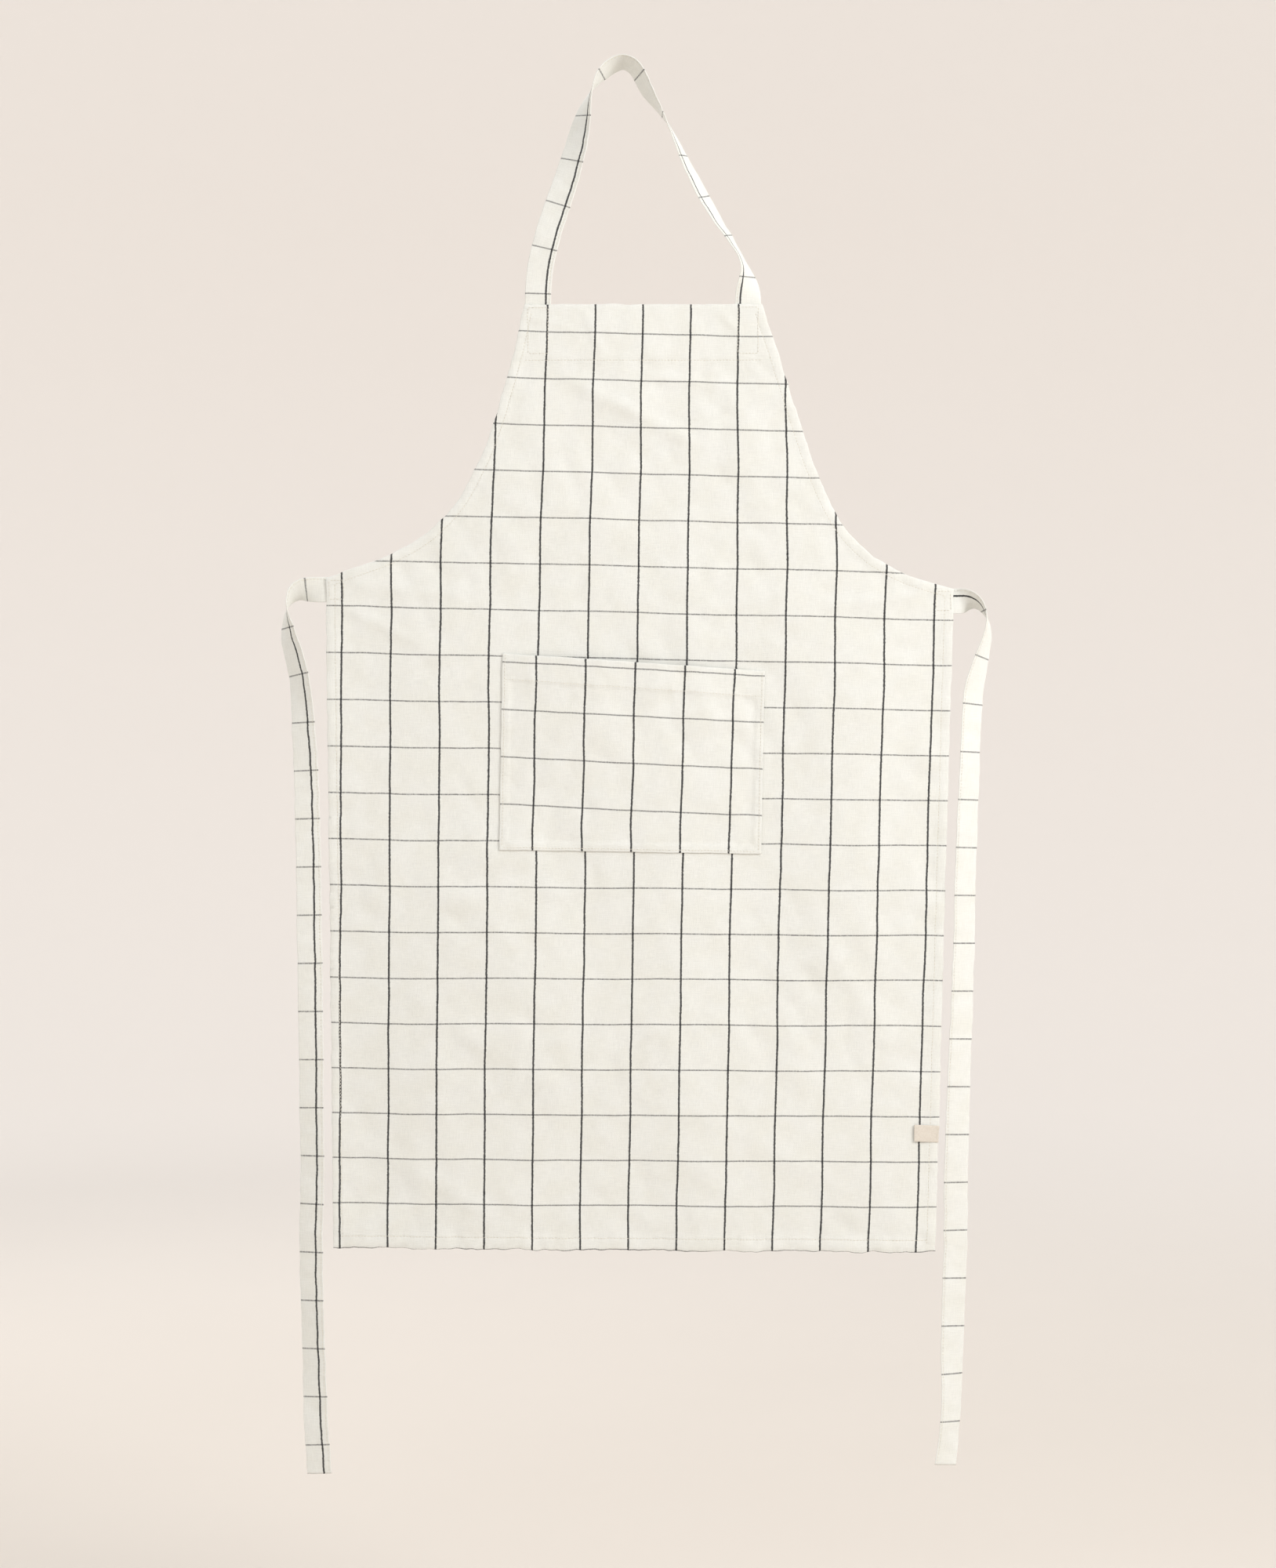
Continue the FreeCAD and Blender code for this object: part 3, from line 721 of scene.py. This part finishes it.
def make_band(name, frame_at, width, stripe, first_weft, pitch, material, seed):
    """A folded band: two faces joined by a round fold and, on its other side, a sewn edge."""
    at = frame_at[0]
    columns = band_columns(width)
    front = band_surface(frame_at, width, columns, 1, seed)
    back = band_surface(frame_at, width, columns[::-1], -1, seed)
    across_way = frame_at[2]

    def rounding(start, end, outward):
        """The round edge between the two faces."""
        middle = (start + end) / 2
        half = (end - start) / 2
        return [middle - half * math.cos(angle) + outward * NOSE * math.sin(angle)
                for angle in (np.pi / 4, np.pi / 2, 3 * np.pi / 4)]

    fold = np.stack(rounding(front[:, -1], back[:, 0], -across_way), axis=1)
    seam = np.stack(rounding(back[:, -1], front[:, 0], across_way), axis=1)
    rings = np.concatenate((front, fold, back, seam), axis=1)
    count, around = rings.shape[:2]
    bend = NOSE * np.pi / 4
    unrolled = np.concatenate((columns, width + bend * np.arange(3),
                               2 * width + 2 * NOSE - columns[::-1],
                               2 * width + 2 * NOSE + bend * np.arange(4)))
    warp = np.clip((unrolled - stripe) / CHECK, -0.95, 0.95)
    weft = (at - first_weft) / pitch
    i, j = np.meshgrid(np.arange(count - 1), np.arange(around), indexing="ij")
    i, j = i.ravel(), j.ravel()
    after = (j + 1) % around
    faces = np.stack((i * around + j, i * around + after, (i + 1) * around + after,
                      (i + 1) * around + j), axis=1)
    zero = np.zeros(len(i))
    values = np.stack([np.stack((warp[a], weft[b], zero), axis=1)
                       for a, b in ((j, i), (j + 1, i), (j + 1, i + 1), (j, i + 1))], axis=1)
    groups = [(faces, values)]
    for row, way in ((0, 1), (count - 1, -1)):
        for cap in end_cap(around):
            cap = cap[:, ::way]
            values = np.stack((warp[cap], np.full(cap.shape, weft[row]), np.zeros(cap.shape)),
                              axis=2)
            groups.append((cap + row * around, values))
    return new_piece(name, rings.reshape(-1, 3), groups, material)


def end_cap(around):
    """Faces that close a band's end: across it between opposite points, and one at each edge."""
    fold_tip, seam_tip = around // 2 - 2, around - 2
    one_way = np.arange(fold_tip + 1, seam_tip)
    other_way = (fold_tip - 1 - np.arange(len(one_way))) % around
    across = np.stack((one_way[:-1], other_way[:-1], other_way[1:], one_way[1:]), axis=1)
    tips = np.array(((fold_tip, other_way[0], one_way[0]), (one_way[-1], other_way[-1], seam_tip)))
    return across, tips


# Sewing thread

def stitch_mesh(name, starts, ends, outs, material):
    """Short lengths of thread that rise out of the cloth and go back into it."""
    sides = 6
    shares = (0.0, 0.12, 0.5, 0.88, 1.0)
    thick = (0.25, 0.85, 1.0, 0.85, 0.25)
    rise = (-0.45, 0.10, 0.42, 0.10, -0.45)
    along = ends - starts
    length = np.linalg.norm(along, axis=1)[:, None]
    along = along / length
    beside = np.cross(along, outs)
    beside /= np.linalg.norm(beside, axis=1)[:, None]
    rings = []
    for share, size, height in zip(shares, thick, rise):
        centre = starts + along * length * share + outs * THREAD * height
        for k in range(sides):
            angle = 2 * math.pi * k / sides
            rings.append(centre + THREAD / 2 * size * (beside * math.cos(angle)
                                                       + outs * math.sin(angle)))
    points = np.stack(rings, axis=1).reshape(-1, 3)
    per = len(shares) * sides
    k = np.arange(sides)
    wall = np.concatenate([np.stack((k, np.roll(k, -1), sides + np.roll(k, -1), sides + k), axis=1)
                           + row * sides for row in range(len(shares) - 1)])
    caps = np.stack((k[::-1], k + per - sides))
    groups = []
    for pattern in (wall, caps):
        faces = (pattern + per * np.arange(len(starts))[:, None, None]).reshape(-1, pattern.shape[1])
        values = np.stack((faces % per // sides * 0.1, faces % sides / sides, faces // per), axis=2)
        groups.append((faces, values))
    return new_piece(name, points, groups, material)


def cut_into_stitches(line):
    """Starts and ends of stitches along a flat line of points."""
    line = spaced(line, 0.0005)
    runs = runs_along(line)
    begin = np.arange(0.0008, runs[-1] - STITCH, STITCH_PITCH)
    return at_places(begin, runs, line), at_places(begin + STITCH, runs, line)


def on_panel(points, level_of):
    """Where flat points of a layer on the panel really are."""
    return laid(points, level_of(points), panel_shape)


def sewn_rows(name, lines, front_of, back_of, material, shape_of=on_panel):
    """Rows of stitches along flat lines, on the front and on the back of what they join."""
    starts, ends, outs = [], [], []
    for level_of, way in ((front_of, -1.0), (back_of, 1.0)):
        for line in lines:
            if len(line) < 2:
                continue
            first, last = cut_into_stitches(line)
            if not len(first):
                continue
            starts.append(shape_of(first, level_of))
            ends.append(shape_of(last, level_of))
            outs.append(np.tile((0.0, way, 0.0), (len(first), 1)))
    return stitch_mesh(name, *(np.concatenate(part) for part in (starts, ends, outs)), material)


def clear_part(line, keep):
    """The stretches of a line that pass a test, each as its own line."""
    line = spaced(line, 0.001)
    good = keep(line)
    stretches, current = [], []
    for point, fine in zip(line, good):
        if fine:
            current.append(point)
        elif current:
            stretches.append(np.array(current))
            current = []
    if current:
        stretches.append(np.array(current))
    return [part for part in stretches if len(part) > 3]


def box_line(left, right, low, high):
    return [np.array(pair) for pair in (((left, low), (right, low)), ((right, low), (right, high)),
                                        ((right, high), (left, high)), ((left, high), (left, low)))]


def row_inside(edges, edge, inset):
    """A line inside one of a piece's edges."""
    line = spaced(edges[edge][0], 0.002)
    return line + left_of(line) * inset


def panel_front_level(points):
    return panel_levels(points)[0]


def panel_back_level(points):
    return panel_levels(points)[1]


def band_back_level(points):
    return np.full(len(points), HEM_BACK + BAND + 0.0001)


def make_panel_stitches(material):
    """The seams of the bib hem, armholes, sides and bottom hem."""
    def clear_of(*edges):
        def keep(points):
            return np.min([measure(PANEL_EDGES[edge][0], points)[0]
                           for edge in edges], axis=0) > SIDE_HEM - 2 * SEAM_INSIDE
        return keep

    rows = {
        "bib_hem_stitching": ("bib", clear_of("armhole_left", "armhole_right")),
        "bottom_hem_stitching": ("bottom", clear_of("left", "right")),
        "armhole_stitching_left": ("armhole_left", clear_of("left", "bib")),
        "armhole_stitching_right": ("armhole_right", clear_of("right", "bib")),
        "side_stitching_left": ("left", clear_of("bottom", "armhole_left")),
        "side_stitching_right": ("right", clear_of("bottom", "armhole_right")),
    }
    pieces = {}
    for node, (edge, keep) in rows.items():
        line = row_inside(PANEL_EDGES, edge, PANEL_EDGES[edge][1] - SEAM_INSIDE)
        pieces[node] = sewn_rows(node + "_thread", clear_part(line, keep),
                                 panel_front_level, panel_back_level, material)
    return pieces


def make_band_stitches(name, frame_at, width, material, seed):
    """The row that closes a band, on both of its faces."""
    at, face = frame_at[0], frame_at[3]
    starts, ends, outs = [], [], []
    begin = np.arange(0.002, at[-1] - STITCH - 0.001, STITCH_PITCH)
    for which in (1, -1):
        row = band_surface(frame_at, width, np.array((BAND_SEAM,)), which, seed)[:, 0]
        starts.append(at_places(begin, at, row))
        ends.append(at_places(begin + STITCH, at, row))
        outs.append(which * at_places(begin + STITCH / 2, at, face))
    return stitch_mesh(name, *(np.concatenate(part) for part in (starts, ends, outs)), material)


# Materials

CLOTH_LIGHT = (0.790, 0.796, 0.762, 1.0)
CLOTH_WARM = (0.775, 0.777, 0.730, 1.0)
WARP_YARN = (0.014, 0.014, 0.018, 1.0)
WEFT_YARN = (0.085, 0.085, 0.090, 1.0)
THREAD_LIGHT = (0.80, 0.77, 0.68, 1.0)
THREAD_DARK = (0.70, 0.66, 0.56, 1.0)
LABEL_LIGHT = (0.720, 0.665, 0.590, 1.0)
LABEL_DARK = (0.670, 0.610, 0.530, 1.0)
CHECK_MM = (46.5, 44.2)
YARN_MM = 1.3


class Graph:
    """A short way to write a material's nodes."""

    def __init__(self, name):
        self.material = bpy.data.materials.new(name)
        self.material.use_nodes = True
        self.tree = self.material.node_tree
        self.shader = self.tree.nodes["Principled BSDF"]

    def add(self, kind, inputs=(), **settings):
        made = self.tree.nodes.new("ShaderNode" + kind)
        for name, value in settings.items():
            setattr(made, name, value)
        for key, value in dict(inputs).items():
            self.put(made.inputs[key], value)
        return made

    def put(self, socket, value):
        if isinstance(value, bpy.types.NodeSocket):
            self.tree.links.new(value, socket)
        else:
            socket.default_value = value

    def math(self, operation, a, b=0.0, c=0.0):
        return self.add("Math", {0: a, 1: b, 2: c}, operation=operation).outputs[0]

    def stretch(self, vector, scale):
        made = self.add("VectorMath", {0: vector, 1: scale}, operation="MULTIPLY")
        return made.outputs[0]

    def noise(self, vector, scale=1.0, detail=2.0, roughness=0.5):
        made = self.add("TexNoise", {"Vector": vector, "Scale": scale, "Detail": detail,
                                     "Roughness": roughness})
        return made.outputs[0]

    def ramp(self, value, low, high, start=0.0, end=1.0):
        made = self.add("MapRange", {"Value": value, "From Min": low, "From Max": high,
                                     "To Min": start, "To Max": end},
                        interpolation_type="SMOOTHSTEP")
        return made.outputs[0]

    def mix(self, share, a, b):
        made = self.add("Mix", {"Factor": share}, data_type="RGBA")
        self.put(made.inputs[6], a)
        self.put(made.inputs[7], b)
        return made.outputs[2]

    def finish(self, colour, roughness, height, distance, strength=1.0):
        self.put(self.shader.inputs["Base Color"], colour)
        self.put(self.shader.inputs["Roughness"], roughness)
        bump = self.add("Bump", {"Height": height, "Strength": strength, "Distance": distance})
        self.put(self.shader.inputs["Normal"], bump.outputs[0])
        return self.material


def cloth_material():
    """Plain-woven cotton with slubs, soft mottling, and the check woven in dark yarn."""
    g = Graph("checked_cotton")
    lines = g.add("Attribute", attribute_name="weave").outputs["Vector"]
    millimetres = g.stretch(lines, (*CHECK_MM, 0.0))
    split = g.add("SeparateXYZ", {0: lines})
    yarn = g.add("SeparateXYZ", {0: millimetres})

    def line_distance(value, pitch):
        from_line = g.math("SUBTRACT", g.math("FRACT", g.math("ADD", value, 0.5)), 0.5)
        return g.math("MULTIPLY", g.math("ABSOLUTE", from_line), pitch)

    warp_edge = g.noise(g.stretch(millimetres, (0.9, 0.55, 0.0)), 1.0, 3.0, 0.6)
    warp_gap = g.math("ADD", line_distance(split.outputs[0], CHECK_MM[0]),
                      g.math("MULTIPLY_ADD", warp_edge, 1.5, -0.75))
    warp_mask = g.ramp(warp_gap, 0.70, 1.15, 1.0, 0.0)
    weft_edge = g.noise(g.stretch(millimetres, (1.3, 1.0, 0.0)), 1.0, 2.0, 0.6)
    weft_gap = g.math("ADD", line_distance(split.outputs[1], CHECK_MM[1]),
                      g.math("MULTIPLY_ADD", weft_edge, 0.9, -0.45))
    weft_mask = g.ramp(weft_gap, 0.40, 0.95, 1.0, 0.0)
    dashes = g.ramp(g.noise(g.stretch(millimetres, (1.1, 0.25, 0.0)), 1.0, 2.0), 0.36, 0.60,
                    0.62, 1.0)

    mottle = g.noise(millimetres, 0.035, 4.0, 0.55)
    warp_slubs = g.noise(g.stretch(millimetres, (1.5, 0.09, 0.0)), 1.0, 3.0, 0.6)
    weft_slubs = g.noise(g.stretch(millimetres, (0.09, 1.5, 0.0)), 1.0, 3.0, 0.6)
    slubs = g.math("MULTIPLY_ADD", g.math("ADD", warp_slubs, weft_slubs), 0.5, 0.0)
    over = g.math("SINE", g.math("MULTIPLY", yarn.outputs[0], 2 * math.pi / YARN_MM))
    under = g.math("SINE", g.math("MULTIPLY", yarn.outputs[1], 2 * math.pi / YARN_MM))
    weave = g.math("MULTIPLY_ADD", g.math("MULTIPLY", over, under), 0.5, 0.5)

    base = g.mix(g.ramp(mottle, 0.35, 0.68), CLOTH_LIGHT, CLOTH_WARM)
    shade = g.math("ADD", g.ramp(slubs, 0.38, 0.62, 0.93, 1.0),
                   g.math("MULTIPLY", weave, 0.012))
    toned = g.add("VectorMath", {0: base, "Scale": shade}, operation="SCALE").outputs[0]
    grey = g.mix(g.math("MULTIPLY", g.math("MULTIPLY", weft_mask, dashes), 0.80), toned,
                 WEFT_YARN)
    black_share = g.math("MULTIPLY", warp_mask, g.ramp(slubs, 0.30, 0.60, 1.0, 0.90))
    colour = g.mix(black_share, grey, WARP_YARN)
    height = g.math("MULTIPLY_ADD", weave, 0.30, slubs)
    height = g.math("MULTIPLY_ADD", warp_mask, 0.25, height)
    g.shader.inputs["Sheen Weight"].default_value = 0.12
    g.shader.inputs["Sheen Roughness"].default_value = 0.45
    g.shader.inputs["Specular IOR Level"].default_value = 0.22
    roughness = g.ramp(slubs, 0.3, 0.7, 0.86, 0.97)
    return g.finish(colour, roughness, height, 0.00045, 0.55)


def thread_material():
    """Twisted cotton thread."""
    g = Graph("cotton_thread")
    turns = g.add("Attribute", attribute_name="weave").outputs["Vector"]
    split = g.add("SeparateXYZ", {0: turns})
    ply = g.math("SINE", g.math("MULTIPLY", g.math("MULTIPLY_ADD", split.outputs[0], 12.0,
                                                   split.outputs[1]), 2 * math.pi))
    tone = g.noise(turns, 3.0, 2.0)
    colour = g.mix(g.ramp(tone, 0.35, 0.65), THREAD_LIGHT, THREAD_DARK)
    roughness = g.ramp(tone, 0.3, 0.7, 0.55, 0.72)
    return g.finish(colour, roughness, ply, 0.00012, 0.6)


def label_material():
    """Close-woven tape with fine ribs and no lettering."""
    g = Graph("label_tape")
    lines = g.add("Attribute", attribute_name="weave").outputs["Vector"]
    split = g.add("SeparateXYZ", {0: lines})
    ribs = g.math("SINE", g.math("MULTIPLY", split.outputs[1], 2 * math.pi / 0.7))
    yarns = g.math("SINE", g.math("MULTIPLY", split.outputs[0], 2 * math.pi / 0.5))
    tone = g.noise(lines, 0.6, 4.0, 0.6)
    colour = g.mix(g.ramp(tone, 0.30, 0.70), LABEL_LIGHT, LABEL_DARK)
    height = g.math("MULTIPLY_ADD", ribs, 0.6, g.math("MULTIPLY", yarns, 0.3))
    g.shader.inputs["Sheen Weight"].default_value = 0.10
    roughness = g.ramp(tone, 0.3, 0.7, 0.70, 0.85)
    return g.finish(colour, roughness, height, 0.00012, 0.5)


def studio_material():
    """Plain pale studio paper, with painted light: painted paler far from the apron, to make up for
    the less light that falls on it there.
    """
    g = Graph("studio_paper")
    place = g.add("TexCoord").outputs["Object"]
    tone = g.noise(place, 1.5, 3.0)
    flat = g.stretch(place, (1.0, 1.0, 0.0))
    reach = g.add("VectorMath", {0: flat}, operation="LENGTH").outputs["Value"]
    floor = g.mix(g.ramp(tone, 0.3, 0.7), FLOOR_COLOUR, FLOOR_SHADE)
    # Painted light: the paper's colour grows paler with distance from the middle, to offset the light
    # that falls off far out.
    colour = g.mix(g.ramp(reach, 1.0, 6.0), floor, WALL_COLOUR)
    return g.finish(colour, 0.9, tone, 0.0005, 0.2)


# The studio

EYE = (0.01275, -2.8, -0.690)
VIEW_HEIGHT = 1.5
SENSOR = 24.0
FLOOR = -1.62
FLOOR_COLOUR = (0.695, 0.632, 0.570, 1.0)
FLOOR_SHADE = (0.685, 0.622, 0.560, 1.0)
# Painted light: this paler colour for the far floor and wall makes up for the less light that reaches
# them.
WALL_COLOUR = (0.912, 0.857, 0.808, 1.0)
SKY_COLOUR = (0.985, 1.0, 1.01, 1.0)
SKY_STRENGTH = 0.99
LIGHT_COLOUR = (1.0, 1.0, 0.99)
APRON_MIDDLE = (0.0, 0.0, -0.60)
# Each light: its name, place, target, size and power
LIGHTS = (
    ("key", (2.0, -1.5, 0.5), (0.25, 0.0, -0.55), 1.0, 38.0),
    ("fill", (-2.2, -2.2, 0.2), APRON_MIDDLE, 2.2, 6.0),
    ("back", (-1.2, 2.4, 0.9), APRON_MIDDLE, 1.8, 22.0),
)


def make_camera():
    data = bpy.data.cameras.new("camera")
    data.sensor_fit = "VERTICAL"
    data.sensor_height = SENSOR
    data.lens = SENSOR * -EYE[1] / VIEW_HEIGHT
    camera = bpy.data.objects.new("camera", data)
    camera.location = EYE
    camera.rotation_euler = (math.pi / 2, 0, 0)
    bpy.context.scene.collection.objects.link(camera)
    bpy.context.scene.camera = camera


def make_light(name, place, target, size, power):
    data = bpy.data.lights.new(name, "AREA")
    data.shape = "DISK"
    data.size = size
    data.energy = power
    data.color = LIGHT_COLOUR
    light = bpy.data.objects.new(name, data)
    light.location = place
    light.rotation_euler = (Vector(target) - Vector(place)).to_track_quat("-Z", "Y").to_euler()
    bpy.context.scene.collection.objects.link(light)


def make_studio():
    """A round pale floor that turns up at its rim, and soft light from all sides."""
    inner, turn, wall = 6.0, 3.2, 1.8
    profile = [(inner * i / 6, 0.0) for i in range(7)]
    profile += [(inner + turn * math.sin(a), turn * (1 - math.cos(a)))
                for a in np.linspace(0.15, math.pi / 2, 9)]
    profile.append((inner + turn, turn + wall))
    around = 64
    points, faces = [(0.0, 0.0, FLOOR)], []
    for reach, rise in profile[1:]:
        points += [(reach * math.cos(2 * math.pi * k / around),
                    reach * math.sin(2 * math.pi * k / around), FLOOR + rise)
                   for k in range(around)]
    for k in range(around):
        after = (k + 1) % around
        faces.append((0, 1 + k, 1 + after))
        for row in range(len(profile) - 2):
            base = 1 + row * around
            faces.append((base + k, base + around + k, base + around + after, base + after))
    mesh = bpy.data.meshes.new("floor")
    mesh.from_pydata(points, [], faces)
    mesh.shade_smooth()
    mesh.materials.append(studio_material())
    floor = bpy.data.objects.new("floor", mesh)
    bpy.context.scene.collection.objects.link(floor)
    world = bpy.data.worlds.new("studio")
    world.use_nodes = True
    background = world.node_tree.nodes["Background"]
    background.inputs["Color"].default_value = SKY_COLOUR
    background.inputs["Strength"].default_value = SKY_STRENGTH
    bpy.context.scene.world = world
    for light in LIGHTS:
        make_light(*light)
    bpy.context.scene.view_settings.view_transform = "Standard"


# Putting the apron together

def stand_for(piece, slot, *nodes):
    """Hide the CAD nodes that a piece replaces; the piece and its slot are not used."""
    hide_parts(*nodes)


def attach(piece, slot, *nodes):
    """The same, for a piece that rides on the apron."""
    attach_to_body(piece, "apron")
    stand_for(piece, slot, *nodes)


def sew_box(node, left, right, low, high, thread):
    """The box seam at a band's sewn end."""
    sewn = sewn_rows(node + "_thread", box_line(left, right, low, high), panel_front_level,
                     band_back_level, thread)
    attach(sewn, "thread", node)


def strap_places(length):
    return ((0.0, STRAP_END), (length, STRAP_END))


def tie_places(length):
    return ((0.0, TIE_END),)


def make_neck_strap(cloth, thread):
    frame_at = band_frame(STRAP_ROUTE, 1, strap_places)
    strap = make_band("neck_band", frame_at, STRAP_WIDTH, 0.0050, 0.0605, 0.0440, cloth, 101)
    rows = make_band_stitches("neck_band_thread", frame_at, STRAP_WIDTH, thread, 101)
    for piece in (strap, rows):
        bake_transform(piece)
    stand_for(strap, "cloth", "neck_strap", "strap_end_left", "strap_end_right")
    stand_for(rows, "thread", "neck_strap_stitching")
    half = STRAP_WIDTH / 2 - BOX_SEAM
    for side, centre in (("left", STRAP_LEFT), ("right", STRAP_RIGHT)):
        sew_box("strap_end_stitching_" + side, centre - half, centre + half,
                BIB_TOP - STRAP_END + BOX_SEAM, BIB_TOP - BOX_SEAM, thread)


# Each tie's route, way out, sewn place, noise seed, and its stripe, first cross line and pitch
TIES = {
    "left": (TIE_LEFT_ROUTE, -1, TIE_LEFT, 131, (0.0072, 0.039, 0.0461)),
    "right": (TIE_RIGHT_ROUTE, 1, TIE_RIGHT, 151, (0.0422, 0.052, 0.0458)),
}


def make_tie(side, cloth, thread):
    route, way, outer, seed, check = TIES[side]
    body = "waist_tie_" + side
    frame_at = band_frame(route, way, tie_places)
    tie = make_band("tie_band_" + side, frame_at, TIE_WIDTH, *check, cloth, seed)
    rows = make_band_stitches("tie_band_thread_" + side, frame_at, TIE_WIDTH, thread, seed)
    edge = outer[0] - way * TIE_END_OUT
    for piece in (tie, rows):
        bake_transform(piece)
    stand_for(tie, "cloth", body, "tie_end_" + side)
    stand_for(rows, "thread", "waist_tie_stitching_" + side)
    low, high = outer[1] - TIE_WIDTH / 2 + BOX_SEAM, outer[1] + TIE_WIDTH / 2 - BOX_SEAM
    ends = sorted((edge - way * BOX_SEAM, outer[0] - way * (TIE_END - BOX_SEAM)))
    sew_box("tie_end_stitching_" + side, *ends, low, high, thread)


def side_edge(up):
    """How far out the right side edge is at a height."""
    share = (up - WAIST_RIGHT[1]) / (HEM_RIGHT[1] - WAIST_RIGHT[1])
    return WAIST_RIGHT[0] + (HEM_RIGHT[0] - WAIST_RIGHT[0]) * share


def make_label(material, thread):
    low, high = LABEL_UP - LABEL_HEIGHT / 2, LABEL_UP + LABEL_HEIGHT / 2
    outer = side_edge(high)
    free_end = outer - LABEL_SEWN - LABEL_GAP - LABEL_FREE
    tilt = 0.0008
    corners = ((free_end, low + tilt), (outer, low - tilt / 2), (outer, high - tilt / 2),
               (free_end, high + tilt))
    edges = {i: (np.array((corners[i], corners[(i + 1) % 4])), 0.001) for i in range(4)}

    def levels(points):
        free = step_up(outer - points[:, 0], 0.004, 0.026)
        edge = np.min([measure(line, points)[0] for line, _ in edges.values()], axis=0)
        back = np.full(len(points), PANEL_FRONT - 0.0004) - 0.0009 * free
        return back - LABEL_CLOTH + 0.00012 * np.exp(-edge / 0.0008), back

    def shape(points):
        placed = panel_shape(points)
        curl = soft_noise(points[:, 0] / 0.012, points[:, 1] / 0.010, 91)
        placed[:, 1] -= 0.0003 * (curl + 1) * step_up(outer - points[:, 0], 0.004, 0.020)
        return placed

    def yarn(points):
        return np.stack((points[:, 0] * 1000, points[:, 1] * 1000, np.zeros(len(points))), axis=1)

    nothing = np.zeros((0, 2))
    label = folded_cloth("side_label", closed_rim(edges, 0.0008), nothing, 0.0010, levels, shape,
                         yarn, material, 0.0003)
    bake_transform(label)
    stand_for(label, "label_cloth", "label", "label_end")
    middle = outer - LABEL_SEWN / 2
    row = [np.array(((middle, low + SEAM_INSIDE), (middle, high - SEAM_INSIDE)))]

    def front_of(points):
        return np.full(len(points), PANEL_FRONT - 0.0004 - LABEL_CLOTH)

    sewn = sewn_rows("label_thread", row, front_of, panel_back_level, thread)
    attach(sewn, "thread", "label_stitching")


def pocket_front_level(points):
    return pocket_levels(points)[0]


def on_pocket(points, level_of):
    """Where flat points of the pocket, or of the panel behind it, really are."""
    shape = pocket_shape if level_of is pocket_front_level else panel_shape
    return laid(points, level_of(points), shape)


def make_pocket_stitches(thread):
    def clear(points):
        return pocket_share(points)[2]["foot"] > POCKET_SEAM - 0.0004

    def clear_sides(points):
        distance = pocket_share(points)[2]
        return np.minimum(distance["left"], distance["right"]) > POCKET_SEAM - 0.0004

    sides = [part for edge in ("left", "right")
             for part in clear_part(row_inside(POCKET_EDGES, edge, POCKET_SEAM), clear)]
    foot = clear_part(row_inside(POCKET_EDGES, "foot", POCKET_SEAM), clear_sides)
    hem = clear_part(row_inside(POCKET_EDGES, "mouth", POCKET_HEM - SEAM_INSIDE), clear_sides)
    return {
        "pocket_edge_stitching": sewn_rows("pocket_edge_thread", sides + foot, pocket_front_level,
                                           panel_back_level, thread, on_pocket),
        "pocket_hem_stitching": sewn_rows("pocket_hem_thread", hem, pocket_front_level,
                                          pocket_front_level, thread, on_pocket),
    }


def main():
    make_camera()
    make_studio()
    cloth = cloth_material()
    thread = thread_material()
    panel = make_panel(cloth)
    attach(panel, "cloth", "apron_panel")
    pocket = make_pocket(cloth)
    attach(pocket, "cloth", "pocket")
    seams = make_panel_stitches(thread)
    pocket_seams = make_pocket_stitches(thread)
    for node, piece in {**seams, **pocket_seams}.items():
        attach(piece, "thread", node)
    make_neck_strap(cloth, thread)
    for side in ("left", "right"):
        make_tie(side, cloth, thread)
    make_label(label_material(), thread)


main()
